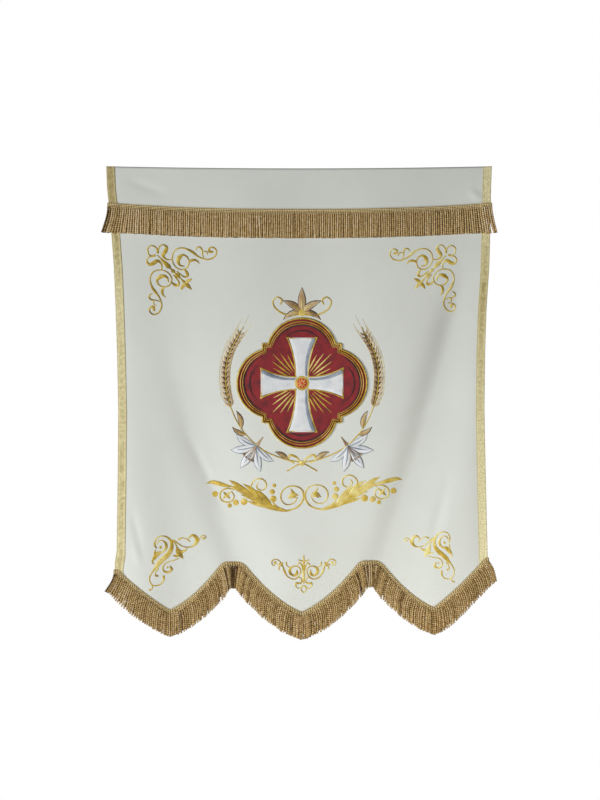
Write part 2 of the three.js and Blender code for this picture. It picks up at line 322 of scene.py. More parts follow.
def clothPoint(share, down, shift=0):
    left, right = (sideEdge(side, topEdge(end) + (hemLine(end) - topEdge(end)) * down)
                   for side, end in (("left", -hang["halfWidth"]), ("right", hang["halfWidth"])))
    x = left + (right - left) * share + shift
    return x, topEdge(x) + (hemLine(x) - topEdge(x)) * down


def makePanel():
    shares = edgeShares(panelSizes["grid"])
    downs = np.linspace(0, 1, round(panelSizes["height"] / panelSizes["grid"]) + 1)
    x, z = clothPoint(shares[None, :], downs[:, None])
    y = foldAt(x, z)
    front = np.stack([x, y - frontOff, z], -1)
    back = np.stack([x, y + frontOff, z], -1)
    points, faces = gridShell(front, back)
    uv = np.concatenate([np.stack([x, z], -1).reshape(-1, 2)] * 2)
    panel = meshObject("clothPanel", points, faces, clothMaterial(), uv)
    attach(panel, "root")
    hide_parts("panel")
    return panel


panel = makePanel()
print("panel:", len(panel.data.vertices), "points")


# Galloon tapes down both sides

tapeSizes = {
    "width": 20,
    "thickness": 1.0,
    "lift": -0.3,
    "length": 925,
    "rowStep": 3,
    "edgeWander": {"depth": 0.12, "length": 2.2},  # the edges are not quite straight
    "edge": "#a39256",
    "gold": "#978243",
    "light": "#fbefbc",
    "gleam": "#fff5c4",
    "shade": "#a68a42",
    "patch": "#b3a05c",
    "chevron": 5.0,  # height of one woven chevron
    "lurex": 1.1,  # spacing of the wefts, drawn at twice their real size so that they show
    "stitch": {"pitch": 3.4, "length": 2.3, "thickness": 0.5, "inset": 1.9},
}
# Painted highlight and painted shade of the metallic yarn by its angle: height and how much lighter or
# darker the tape is painted
tapeGleam = {
    "left": [(-900, 0.2), (-700, 0.15), (-300, 0.5), (-210, 0.1), (-110, -0.2), (10, -0.25)],
    "right": [(-900, 1.0), (-720, 0.95), (-420, 0.2), (-300, -0.15), (-200, 0.2), (-110, 0.9), (10, 0.95)],
}
# Height of the woven ribs over the tape's thickness, at places across it
tapeRibs = [(0, -0.35), (0.5, 0.1), (1.2, 0.3), (1.9, 0.1), (2.6, -0.1), (3.4, 0.2), (4.2, 0.3), (5, 0.05),
            (6.5, 0.1), (8.2, 0.2), (10, 0.25)]


# Galloon of rayon and flat metallic yarn: bright chevrons between darker corded edges
def tapeMaterial():
    material, tree = newMaterial("woven metallic galloon, gold")
    uv = addNode(tree, "ShaderNodeUVMap", out="UV", uv_map="UVMap")
    place = addNode(tree, "ShaderNodeTexCoord", out="Object")
    tone = addNode(tree, "ShaderNodeAttribute", out="Fac", attribute_name="tone")
    gold, light = srgb(tapeSizes["gold"]), srgb(tapeSizes["light"])
    half = tapeSizes["width"] / 2 * mm

    parts = addNode(tree, "ShaderNodeSeparateXYZ", {0: uv})
    fromMiddle = addNode(tree, "ShaderNodeMath", (parts.outputs["X"], half), 0, operation="SUBTRACT")
    aside = addNode(tree, "ShaderNodeMath", (fromMiddle,), 0, operation="ABSOLUTE")
    bent = addNode(tree, "ShaderNodeMath", (parts.outputs["Y"], aside), 0, operation="ADD")
    bent = addNode(tree, "ShaderNodeMath", (bent, 2 * math.pi / (tapeSizes["chevron"] * mm)), 0,
                   operation="MULTIPLY")
    chevron = addNode(tree, "ShaderNodeMath", (bent,), 0, operation="SINE")
    rows = addNode(tree, "ShaderNodeMath", (parts.outputs["Y"], 2 * math.pi / (tapeSizes["lurex"] * mm)), 0,
                   operation="MULTIPLY")
    weft = addNode(tree, "ShaderNodeMath", (rows,), 0, operation="SINE")

    # Chevrons broken up by specks of metallic yarn, painted lighter where the tape catches the light, as
    # painted highlight
    lit = addNode(tree, "ShaderNodeMapRange", {"Value": chevron, "From Min": -1, "From Max": 1}, "Result")
    speck = addNode(tree, "ShaderNodeTexNoise", {"Vector": place, "Scale": 150, "Detail": 2}, "Fac")
    speck = addNode(tree, "ShaderNodeMapRange", {
        "Value": speck, "From Min": 0.36, "From Max": 0.6}, "Result")
    mix = addNode(tree, "ShaderNodeMath", (lit, speck), 0, operation="ADD")
    mix = addNode(tree, "ShaderNodeMath", (mix, 0.5), 0, operation="MULTIPLY")
    mix = addNode(tree, "ShaderNodeMath", (tone, 0.35, mix), 0, operation="MULTIPLY_ADD")
    middle = addNode(tree, "ShaderNodeMix", {0: mix, 6: gold, 7: light}, 2, data_type="RGBA")
    patches = addNode(tree, "ShaderNodeTexNoise", {"Vector": place, "Scale": 14, "Detail": 2}, "Fac")
    patches = addNode(tree, "ShaderNodeMath", (patches, 0.35), 0, operation="MULTIPLY")
    middle = addNode(tree, "ShaderNodeMix", {
        0: patches, 6: middle, 7: srgb(tapeSizes["patch"])}, 2, data_type="RGBA")
    band = addNode(tree, "ShaderNodeMapRange", {
        "Value": aside, "From Min": half * 0.42, "From Max": half * 0.6}, "Result",
        interpolation_type="SMOOTHSTEP")
    band = addNode(tree, "ShaderNodeMath", (band, 0.5), 0, operation="MULTIPLY")
    middle = addNode(tree, "ShaderNodeMix", {0: band, 6: middle, 7: light}, 2, data_type="RGBA")

    # Painted highlight above 0 and painted shade below it, then dark grains and the corded edges
    gleam = addNode(tree, "ShaderNodeMath", (tone, 0.0), 0, operation="MAXIMUM")
    gleam = addNode(tree, "ShaderNodeMath", (gleam, 0.85), 0, operation="MULTIPLY")
    middle = addNode(tree, "ShaderNodeMix", {
        0: gleam, 6: middle, 7: srgb(tapeSizes["gleam"])}, 2, data_type="RGBA")
    shade = addNode(tree, "ShaderNodeMath", (tone, -1.0), 0, operation="MULTIPLY")
    shade = addNode(tree, "ShaderNodeMath", (shade, 0.0), 0, operation="MAXIMUM")
    middle = addNode(tree, "ShaderNodeMix", {
        0: shade, 6: middle, 7: srgb(tapeSizes["shade"])}, 2, data_type="RGBA")
    grain = addNode(tree, "ShaderNodeTexNoise", {"Vector": place, "Scale": 300, "Detail": 1}, "Fac")
    grain = addNode(tree, "ShaderNodeMapRange", {
        "Value": grain, "From Min": 0.46, "From Max": 0.6, "To Max": 0.34}, "Result")
    middle = addNode(tree, "ShaderNodeMix", {0: grain, 6: middle, 7: gold}, 2, data_type="RGBA")
    edge = addNode(tree, "ShaderNodeMapRange", {
        "Value": aside, "From Min": half * 0.86, "From Max": half * 0.98}, "Result",
        interpolation_type="SMOOTHSTEP")
    colour = addNode(tree, "ShaderNodeMix", {
        0: edge, 6: middle, 7: srgb(tapeSizes["edge"])}, 2, data_type="RGBA")

    weft = addNode(tree, "ShaderNodeMath", (weft, 0.35), 0, operation="MULTIPLY")
    height = addNode(tree, "ShaderNodeMath", (chevron, 0.5, weft), 0, operation="MULTIPLY_ADD")
    bump = addNode(tree, "ShaderNodeBump", {
        "Strength": 0.55, "Distance": 0.3 * mm, "Height": height}, "Normal")
    finishMaterial(tree, {
        "Base Color": colour, "Metallic": 0.08, "Roughness": 0.46, "Normal": bump, "Sheen Weight": 0.1})
    return material


def makeTape(name, node, side, material):
    width = tapeSizes["width"]
    half = tapeRibs + [(width - u, rib) for u, rib in reversed(tapeRibs[:-1])]
    across, ribs = (np.array(column, float) for column in zip(*half))
    downs = np.linspace(0, 1, round(tapeSizes["length"] / tapeSizes["rowStep"]) + 1)[:, None]
    share, shifts = (0, across) if side == "left" else (1, across - width)
    x, z = clothPoint(share, downs, shifts[None, :])
    y = foldAt(x, z) - frontOff - tapeSizes["lift"]
    outermost = (across < 0.4) | (across > width - 0.4)
    wander = tapeSizes["edgeWander"]
    x = x + wander["depth"] * np.sin(z * 2 * math.pi / wander["length"]) * outermost[None, :]
    front = np.stack([x, y - tapeSizes["thickness"] - ribs[None, :], z], -1)
    back = np.stack([x, y, z], -1)
    points, faces = gridShell(front, back)
    uv = np.concatenate([np.stack([np.broadcast_to(across, x.shape), z], -1).reshape(-1, 2)] * 2)
    heights, gleams = zip(*tapeGleam[side])
    tone = np.tile(np.interp(z, heights, gleams).ravel(), 2)
    tape = meshObject(name, points, faces, material, uv, tone)
    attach(tape, "root")
    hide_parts(node)
    return tape


goldTape = tapeMaterial()
tapes = [makeTape("galloonTapeLeft", "galloon_left", "left", goldTape),
         makeTape("galloonTapeRight", "galloon_right", "right", goldTape)]
print("tapes:", sum(len(tape.data.polygons) for tape in tapes), "faces")


# Geometry Nodes: cords that follow lines, and stitches along lines

def newTree(name, sizes):
    tree = bpy.data.node_groups.new(name, "GeometryNodeTree")
    tree.interface.new_socket("Geometry", in_out="INPUT", socket_type="NodeSocketGeometry")
    kinds = {float: "NodeSocketFloat", int: "NodeSocketInt"}
    for label, value in sizes.items():
        socket = tree.interface.new_socket(label, in_out="INPUT", socket_type=kinds[type(value)])
        socket.default_value = value
    tree.interface.new_socket("Material", in_out="INPUT", socket_type="NodeSocketMaterial")
    tree.interface.new_socket("Geometry", in_out="OUTPUT", socket_type="NodeSocketGeometry")
    return tree, tree.nodes.new("NodeGroupInput").outputs


def endTree(tree, geometry, material):
    smooth = addNode(tree, "GeometryNodeSetShadeSmooth", {"Geometry": geometry}, 0)
    whole = addNode(tree, "GeometryNodeRealizeInstances", {"Geometry": smooth}, 0)
    dressed = addNode(tree, "GeometryNodeSetMaterial", {"Geometry": whole, "Material": material}, 0)
    addNode(tree, "NodeGroupOutput", {"Geometry": dressed})


# Sweeps a ribbed section along each line and turns it, so that the line becomes a twisted cord.
# The lines' points carry girth (share of the width) and phase (where the twist starts). The cord gets the
# attribute bead, 1 where a ply comes to the front, where it also swells.
def cordTree():
    tree, given = newTree("twistedCord", {
        "Width": 0.004, "Turn": 0.009, "Step": 0.001, "Plies": 3, "Hollow": 0.6, "Swell": 0.0})
    lines = addNode(tree, "GeometryNodeMeshToCurve", {"Mesh": given["Geometry"]}, 0)
    even = addNode(tree, "GeometryNodeResampleCurve", {
        "Curve": lines, "Length": given["Step"]}, 0, mode="LENGTH")
    run = addNode(tree, "GeometryNodeSplineParameter", out="Length")
    phase = addNode(tree, "GeometryNodeInputNamedAttribute", {"Name": "phase"}, 0, data_type="FLOAT")
    girth = addNode(tree, "GeometryNodeInputNamedAttribute", {"Name": "girth"}, 0, data_type="FLOAT")
    turns = addNode(tree, "ShaderNodeMath", (run, given["Turn"]), 0, operation="DIVIDE")
    turns = addNode(tree, "ShaderNodeMath", (turns, phase), 0, operation="ADD")
    angle = addNode(tree, "ShaderNodeMath", (turns, 2 * math.pi), 0, operation="MULTIPLY")
    bead = addNode(tree, "ShaderNodeMath", (angle, given["Plies"]), 0, operation="MULTIPLY")
    bead = addNode(tree, "ShaderNodeMath", (bead,), 0, operation="SINE")
    thin = addNode(tree, "ShaderNodeMath", (bead, 1.0), 0, operation="SUBTRACT")
    swell = addNode(tree, "ShaderNodeMath", (given["Swell"], 0.5), 0, operation="MULTIPLY")
    thickness = addNode(tree, "ShaderNodeMath", (thin, swell), 0, operation="MULTIPLY")
    thickness = addNode(tree, "ShaderNodeMath", (thickness, 1.0), 0, operation="ADD")
    thickness = addNode(tree, "ShaderNodeMath", (girth, thickness), 0, operation="MULTIPLY")
    beaded = addNode(tree, "GeometryNodeStoreNamedAttribute", {
        "Geometry": even, "Name": "bead", "Value": bead}, 0, data_type="FLOAT", domain="POINT")
    twisted = addNode(tree, "GeometryNodeSetCurveTilt", {"Curve": beaded, "Tilt": angle}, 0)
    outer = addNode(tree, "ShaderNodeMath", (given["Width"], 0.5), 0, operation="MULTIPLY")
    inner = addNode(tree, "ShaderNodeMath", (outer, given["Hollow"]), 0, operation="MULTIPLY")
    section = addNode(tree, "GeometryNodeCurveStar", {
        "Points": given["Plies"], "Inner Radius": inner, "Outer Radius": outer, "Twist": 0.0})
    between = addNode(tree, "ShaderNodeMath", (1.0, section.outputs["Outer Points"]), 0,
                      operation="SUBTRACT")
    marked = addNode(tree, "GeometryNodeStoreNamedAttribute", {
        "Geometry": section.outputs["Curve"], "Name": "groove", "Value": between}, 0,
        data_type="FLOAT", domain="POINT")
    cord = addNode(tree, "GeometryNodeCurveToMesh", {
        "Curve": twisted, "Profile Curve": marked, "Scale": thickness, "Fill Caps": True}, 0)
    endTree(tree, cord, given["Material"])
    return tree


# Lays one small rounded stitch at each step of each line
def stitchTree():
    tree, given = newTree("stitchRow", {"Pitch": 0.003, "Length": 0.002, "Thickness": 0.0005})
    lines = addNode(tree, "GeometryNodeMeshToCurve", {"Mesh": given["Geometry"]}, 0)
    spots = addNode(tree, "GeometryNodeCurveToPoints", {
        "Curve": lines, "Length": given["Pitch"]}, mode="LENGTH")
    bead = addNode(tree, "GeometryNodeMeshIcoSphere", {"Radius": 0.5, "Subdivisions": 1}, "Mesh")
    size = addNode(tree, "ShaderNodeCombineXYZ", {
        "X": given["Thickness"], "Y": given["Thickness"], "Z": given["Length"]}, 0)
    laid = addNode(tree, "GeometryNodeInstanceOnPoints", {
        "Points": spots.outputs["Points"], "Instance": bead,
        "Rotation": spots.outputs["Rotation"], "Scale": size}, 0)
    endTree(tree, laid, given["Material"])
    return tree


# Runs a tree over lines (each a list of points with its girth, tone and phase) and keeps a plain mesh
def growAlong(name, tree, lines, sizes, material):
    points, edges, girths, tones, phases = [], [], [], [], []
    for line in lines:
        first = len(points)
        path = line["path"]
        points += (np.asarray(path) * mm).tolist()
        edges += [(first + i, first + i + 1) for i in range(len(path) - 1)]
        girths += list(np.broadcast_to(line.get("girth", 1.0), len(path)))
        tones += [line.get("tone", 0.5)] * len(path)
        phases += [line.get("phase", 0.0)] * len(path)
    mesh = bpy.data.meshes.new(name + "Lines")
    mesh.from_pydata(points, edges, [])
    for label, values in (("girth", girths), ("tone", tones), ("phase", phases)):
        layer = mesh.attributes.new(label, "FLOAT", "POINT")
        layer.data.foreach_set("value", np.asarray(values, np.float32))
    source = bpy.data.objects.new(name + "Lines", mesh)
    bpy.context.scene.collection.objects.link(source)
    modifier = source.modifiers.new("grow", "NODES")
    modifier.node_group = tree
    for item in tree.interface.items_tree:
        if item.in_out == "INPUT" and item.name in sizes:
            modifier[item.identifier] = sizes[item.name]
        if item.in_out == "INPUT" and item.name == "Material":
            modifier[item.identifier] = material
    depsgraph = bpy.context.evaluated_depsgraph_get()
    grown = bpy.data.meshes.new_from_object(source.evaluated_get(depsgraph))
    grown.name = name
    source.modifiers.remove(modifier)
    bpy.data.objects.remove(source)
    piece = bpy.data.objects.new(name, grown)
    bpy.context.scene.collection.objects.link(piece)
    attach(piece, "root")
    return piece


twistedCord = cordTree()
stitchRow = stitchTree()


# Fringes: a heading of fine cords on a narrow strip, with twisted yarn cords hanging below it

fringeSizes = {
    "stripDepth": 12,
    "stripThickness": 1.1,
    "stripLift": -0.4,
    "stripStep": 4,
    "overTape": 1.35,  # the heading stands this much further out where it crosses a tape
    "tapeReach": 27,
    "overhang": 2.5,  # the fringe ends this far outside the tapes
    "cordTurn": 14,  # real cord turns in half of this, drawn coarser so that it shows
    "swell": 0.2,
    "rootDepth": 10,  # the cords start this far below the heading's upper edge
    "tipShare": 0.06,  # share of the heading's slope that is left in the cords' tips
    "leanReach": 22,
    "segments": 14,
    "uneven": {"lean": 0.95, "length": 0.5, "wobble": 3, "tone": 0.05, "drift": 0.05},
    "endReach": 34,  # so far in from both ends the cords are longer and lie more alike
    "endCalm": 0.75,
    "darkEnd": {"tone": 0.45, "reach": 9},
    "crowdReach": 38,  # so far to each side of a notch the cords crowd
    # "uneven" is how much more the tones of cords crowding beside a notch vary; "darker" is how much darker
    # they are painted, as painted shade
    "crowdTone": {"uneven": 0.2, "darker": 0.12},
    "extraCords": (-10, -5, 0, 5, 10),
    "toneRange": (0.15, 1.4),
}
# The two rows: "rootShare" is how nearly square to the heading the cords leave it, "loose" their share of
# the uneven lean, "out" how far before the cloth they hang and "bow" how much further out in their middle.
fringeRows = {
    "front": {"pitch": 5.1, "width": 5.1, "step": 1.2, "rootShare": 0.62, "loose": 1, "longer": 0,
              "tone": 1, "out": 3.2, "bow": 1.1, "depth": 0.35},
    # The back row's lower tone is painted shade from the front row before it
    "back": {"pitch": 3.2, "width": 4.6, "step": 3.6, "rootShare": 0.1, "loose": 0.3, "longer": 0.3,
             "tone": 0.65, "out": 1.9, "bow": 0, "depth": 0},
}
# Share of the girth along a cord
cordGirth = [(0, 0.8), (0.08, 1), (0.93, 1.05), (0.98, 1.1), (1, 1.0)]
# "groove" and "bead" say how much darker a cord is painted in the grooves and between the beads of its
# twist, as painted shade. "behind" is the tone of their rear, which has no cords before it to shade it, so
# it is painted without that shade.
cordColours = {"dark": "#4a3115", "middle": "#caa86c", "light": "#fbedd0",
               "groove": 0.34, "bead": 0.25, "behind": 1.0}
headingColours = {"dark": "#5c4520", "middle": "#d6b470", "light": "#fbe8b8",
                  "groove": 0.5, "bead": 0.95, "behind": 1.0}
# Cords of the heading: how far below its upper edge, their width and their tone
headingCords = [
    {"down": 0.5, "width": 2.0, "tone": 1.75},
    {"down": 3.4, "width": 3.4, "tone": 1.67},
    {"down": 6.8, "width": 3.4, "tone": 1.47},
    {"down": 10.1, "width": 3.4, "tone": 1.67},
]
headingTwist = {"spacing": 3, "width": 3, "turn": 17, "step": 1.4, "swell": 0.15, "stands": 0.32}
fringes = {
    "header": {
        "line": headerLine, "reach": 67.5, "leanLeft": 17, "leanRight": 12, "fanReach": (50, 50),
        "crowd": 0,  # the cords are this much shorter in the notches
        "ends": {"left": 4, "right": 4, "turn": 4},  # extra length at both ends, and turn at the right
        "gather": 0,  # degrees by which the cords beside a notch lean towards it
        "thick": [],  # places with a few cords more
        "clump": 1.2,  # degrees by which neighbouring cords lean together
        "strays": [1, 0.5, 0],  # further lean of the first cords at the left end
        "trims": [],  # places where the cords are shorter: x, by how much, over which distance
        "partings": [(387, 1.8, 13), (437, 2.4, 12), (-305, 1.3, 12), (-120, 1.1, 10)],
        "tone": 0.83, "lighterLeft": 0.01, "headingTone": 1.0,
    },
    "hem": {
        "line": hemLine, "reach": 66.5, "leanLeft": 30, "leanRight": 12, "fanReach": (50, 95),
        "crowd": 5,
        "ends": {"left": 1, "right": -4, "turn": 22},
        "gather": 20,
        "thick": [-301, 6, 313],
        "clump": 1.3,
        "strays": [3, 2.5, 2, 1.5, 1, 0.5],
        "trims": [(-426, 11, 42), (-301, 4, 50), (6, 2.5, 50), (313, 2.5, 50), (398, 7.5, 42)],
        "partings": [(-352, 1.8, 12), (-22, 1.6, 11), (262, 1.6, 12)],
        "tone": 0.72, "lighterLeft": 0.0, "headingTone": 0.87,
    },
}


# Two-ply viscose cord: a soft lustre on the plies, painted brown shade between them
def yarnMaterial(name, colours):
    material, tree = newMaterial(name)
    place = addNode(tree, "ShaderNodeTexCoord", out="Object")
    tone, groove, bead = (addNode(tree, "ShaderNodeAttribute", out="Fac", attribute_name=label)
                          for label in ("tone", "groove", "bead"))
    fibre = addNode(tree, "ShaderNodeTexNoise", {"Vector": place, "Scale": 520, "Detail": 3}, "Fac")
    mottle = addNode(tree, "ShaderNodeTexNoise", {"Vector": place, "Scale": 190, "Detail": 2}, "Fac")
    normal = addNode(tree, "ShaderNodeNewGeometry", out="Normal")
    outward = addNode(tree, "ShaderNodeSeparateXYZ", {"Vector": normal}, "Y")
    behind = addNode(tree, "ShaderNodeMapRange", {
        "Value": outward, "From Min": 0.1, "From Max": 0.6, "To Max": colours["behind"]}, "Result")
    tone = addNode(tree, "ShaderNodeMath", (tone, behind), 0, operation="MAXIMUM")
    tone = addNode(tree, "ShaderNodeMath", (groove, -colours["groove"], tone), 0, operation="MULTIPLY_ADD")
    between = addNode(tree, "ShaderNodeMath", (bead, -0.5, 0.5), 0, operation="MULTIPLY_ADD")
    tone = addNode(tree, "ShaderNodeMath", (between, -colours["bead"], tone), 0, operation="MULTIPLY_ADD")
    flecks = addNode(tree, "ShaderNodeMath", (mottle, 0.5), 0, operation="SUBTRACT")
    blend = addNode(tree, "ShaderNodeMath", (flecks, 0.9, tone), 0, operation="MULTIPLY_ADD")
    ramp = addNode(tree, "ShaderNodeValToRGB", {"Fac": blend})
    stops = ramp.color_ramp.elements
    stops[0].color = srgb(colours["dark"])
    stops[1].color = srgb(colours["light"])
    stops.new(0.5).color = srgb(colours["middle"])
    bump = addNode(tree, "ShaderNodeBump", {
        "Strength": 0.5, "Distance": 0.25 * mm, "Height": fibre}, "Normal")
    finishMaterial(tree, {
        "Base Color": ramp.outputs["Color"], "Roughness": 0.6, "Normal": bump,
        "Specular IOR Level": 0.2, "Sheen Weight": 0.02, "Sheen Roughness": 0.4})
    return material


def lineSlope(line, x, reach=6):
    return (line(x + reach) - line(x - reach)) / (2 * reach)


# 1 at a place, falling off softly over a distance
def nearness(far, reach):
    return math.exp(-((far / reach) ** 2))


# Points at even distances along a line of the cloth, from one end of its fringe to the other
def evenAlong(line, spacing):
    left = float(sideEdge("left", line(-hang["halfWidth"]))) - fringeSizes["overhang"]
    right = float(sideEdge("right", line(hang["halfWidth"]))) + fringeSizes["overhang"]
    x = np.linspace(left, right, 2400)
    z = line(x)
    length = np.concatenate([[0], np.cumsum(np.hypot(np.diff(x), np.diff(z)))])
    count = round(length[-1] / spacing)
    return np.interp(np.arange(count + 1) * length[-1] / count, length, x)


# Extra height of the heading where it crosses a tape
def overTape(x, z):
    aside = np.minimum(x - sideEdge("left", z), sideEdge("right", z) - x)
    start = tapeSizes["width"] - 1
    return fringeSizes["overTape"] * (1 - smoothStep((aside - start) / (fringeSizes["tapeReach"] - start)))


# A place below the heading's upper edge, square to it, with how far out its surface lies
def belowEdge(line, x, down):
    slope = lineSlope(line, x)
    length = np.hypot(slope, 1)
    z = line(x)
    base = foldAt(x, z) - frontOff - overTape(x, z)
    return np.broadcast_arrays(x + down * slope / length, base, z - down / length)


def makeHeading(name, fringe, material):
    line = fringe["line"]
    x = evenAlong(line, fringeSizes["stripStep"])
    downs = np.linspace(0, fringeSizes["stripDepth"], 5)[:, None]
    px, base, pz = belowEdge(line, x[None, :], downs)
    base = base - fringeSizes["stripLift"]
    front = np.stack([px, base - fringeSizes["stripThickness"], pz], -1)
    back = np.stack([px, np.broadcast_to(base, px.shape), pz], -1)
    points, faces = gridShell(front, back)
    strip = meshObject(name + "Strip", points, faces, material, tone=[0.3] * len(points))
    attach(strip, "root")
    lines = []
    lift = fringeSizes["stripLift"] + fringeSizes["stripThickness"]
    fineX = evenAlong(line, headingTwist["spacing"])
    for i, cord in enumerate(headingCords):
        cx, cy, cz = belowEdge(line, fineX, cord["down"])
        path = np.stack([cx, cy - lift - cord["width"] * headingTwist["stands"], cz], -1)
        lines.append({"path": path, "girth": cord["width"] / headingTwist["width"],
                      "tone": cord["tone"] * fringe["headingTone"], "phase": 0.3 * i})
    sizes = {"Width": headingTwist["width"] * mm, "Turn": headingTwist["turn"] * mm,
             "Step": headingTwist["step"] * mm, "Plies": 3, "Hollow": 0.6, "Swell": headingTwist["swell"]}
    cords = growAlong(name + "Cords", twistedCord, lines, sizes, material)
    return [strip, cords]


# A smooth repeatable wave between about -1 and 1, by which neighbours lean together
def drift(s, seed):
    waves = [(13, 1.0), (23, 0.8), (47, 0.6)]
    total = sum(size * np.sin(2 * math.pi * s / pitch + seed * (k + 1.7))
                for k, (pitch, size) in enumerate(waves))
    return float(total / 1.6)


# The way of one cord from its root: it leaves the heading at a slant and soon hangs almost straight down
def cordPath(root, length, slope, turn, lean, wobble, out, row):
    x, y, z = root
    path = []
    for k in range(fringeSizes["segments"] + 1):
        t = k / fringeSizes["segments"]
        ease = float(smoothStep(t * 1.5))
        sway = fringeSizes["uneven"]["wobble"] * wobble * math.sin(t * 7 + wobble * 9)
        angle = slope * (row["rootShare"] * (1 - ease) + fringeSizes["tipShare"] * ease)
        angle += math.radians(turn * (1 - ease) + lean * ease + sway)
        if k:
            x += math.sin(angle) * length / fringeSizes["segments"]
            z -= math.cos(angle) * length / fringeSizes["segments"]
        bow = math.sin(math.pi * min(1, t * 1.1))
        path.append((x, y - row["out"] - row["bow"] * bow - out * t, z))
    return path


def hangingLines(fringe, row):
    line, uneven, inCrowd = fringe["line"], fringeSizes["uneven"], fringe["crowd"] > 0
    roots = evenAlong(line, row["pitch"])
    roots = (roots[:-1] + roots[1:]) / 2
    leftEnd, rightEnd = roots[0], roots[-1]
    extra = [[place + shift for shift in fringeSizes["extraCords"]] for place in fringe["thick"]]
    roots = np.concatenate([roots] + extra)
    notches = [turn[1] for turn in hemTurns if turn[0] == "notch"]
    lines = []
    for i, x in enumerate(roots):
        root = [float(v) for v in belowEdge(line, x, fringeSizes["rootDepth"])]
        if row is fringeRows["back"]:
            root = [x, root[1], float(line(x)) - fringeSizes["rootDepth"]]
        nearLeft, nearRight = (nearness(x - end, fringeSizes["endReach"]) for end in (leftEnd, rightEnd))
        calm = 1 - fringeSizes["endCalm"] * max(nearLeft, nearRight)
        byNotch = [nearness(x - notch, fringeSizes["crowdReach"]) for notch in notches]
        crowd = max(byNotch)

        lean = fringe["leanRight"] * nearness(x - rightEnd, fringe["fanReach"][1])
        lean -= fringe["leanLeft"] * nearness(x - leftEnd, fringe["fanReach"][0])
        lean += dice.gauss(0, uneven["lean"] * row["loose"] * calm)
        lean += fringe["clump"] * calm * drift(x, 2.0)
        lean += sum(spread * math.copysign(1, x - place) * nearness(x - place, reach)
                    for place, spread, reach in fringe["partings"])
        lean += fringe["gather"] * sum((notch - x) / fringeSizes["crowdReach"] * near
                                       for notch, near in zip(notches, byNotch))
        if row is fringeRows["front"] and i < len(fringe["strays"]):
            lean -= fringe["strays"][i]

        length = fringe["reach"] - fringeSizes["rootDepth"] - fringe["crowd"] * crowd + row["longer"]
        length += nearLeft * fringe["ends"]["left"] + nearRight * fringe["ends"]["right"]
        length -= sum(less * nearness(x - place, reach) for place, less, reach in fringe["trims"])
        length += dice.gauss(0, uneven["length"])
        out = dice.uniform(-1, 1) * row["depth"]
        wobble = dice.uniform(-0.5, 0.5)

        crowdTone = fringeSizes["crowdTone"]
        # lighterLeft paints the cords lighter towards the left, as painted light
        tone = fringe["tone"] + fringe["lighterLeft"] * (1 - x / 225) + uneven["drift"] * drift(x * 0.7, 5.0)
        tone += dice.gauss(0, uneven["tone"] + crowdTone["uneven"] * crowd * inCrowd)
        # Painted shade: cords crowding in a notch are painted darker
        tone -= crowdTone["darker"] * crowd * inCrowd
        tone -= fringeSizes["darkEnd"]["tone"] * nearness(x - leftEnd, fringeSizes["darkEnd"]["reach"])
        tone = float(np.clip(tone, *fringeSizes["toneRange"])) * row["tone"]

        slope = math.atan(float(lineSlope(line, x, fringeSizes["leanReach"]))) * (1 - 0.5 * crowd)
        path = cordPath(root, length, slope, fringe["ends"]["turn"] * nearRight, lean, wobble, out, row)
        girth = np.interp(np.linspace(0, 1, len(path)), *zip(*cordGirth))
        lines.append({"path": path, "girth": girth, "tone": tone, "phase": dice.random()})
    return lines


def makeFringe(name, node, fringe, material, headingMaterial):
    pieces = makeHeading(name + "Heading", fringe, headingMaterial)
    for label, row in fringeRows.items():
        sizes = {"Width": row["width"] * mm, "Turn": fringeSizes["cordTurn"] * mm, "Step": row["step"] * mm,
                 "Plies": 3, "Hollow": 0.6, "Swell": fringeSizes["swell"]}
        cords = growAlong(name + label.capitalize() + "Yarns", twistedCord, hangingLines(fringe, row), sizes,
                          material)
        if label == "front":
            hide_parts(node)
        pieces.append(cords)
    return pieces


beigeYarn = yarnMaterial("twisted viscose cord, beige gold", cordColours)
beigeGimp = yarnMaterial("fine viscose gimp cord, olive gold", headingColours)
fringePieces = makeFringe("headerFringe", "fringe_top", fringes["header"], beigeYarn, beigeGimp)
fringePieces += makeFringe("hemFringe", "fringe_hem", fringes["hem"], beigeYarn, beigeGimp)
print("fringes:", sum(len(piece.data.polygons) for piece in fringePieces), "faces")


# Embroidery: satin-stitched strokes and domed fillings that lie on the cloth

stitching = {
    "step": 1.5,
    "sink": 0.35,  # the underside lies this deep in the cloth
    "heightShare": 0.26,  # height of a stroke over its width
    "maxHeight": 0.8,
    # A stroke's rounded end: how far out over its width, and the share of its width
    "roundEnd": [(0.5, 0.35), (0.4, 0.65), (0.22, 0.9)],
    "gleam": 0.16,  # painted sheen: satin stitch is painted lighter or darker by the way it runs
    "gleamTurn": 0.9,
    "thread": 0.9,  # real thread is 0.4 mm, drawn coarser so that it shows close up
    "slant": 0.25,  # the threads lie this much off square to their stroke
}


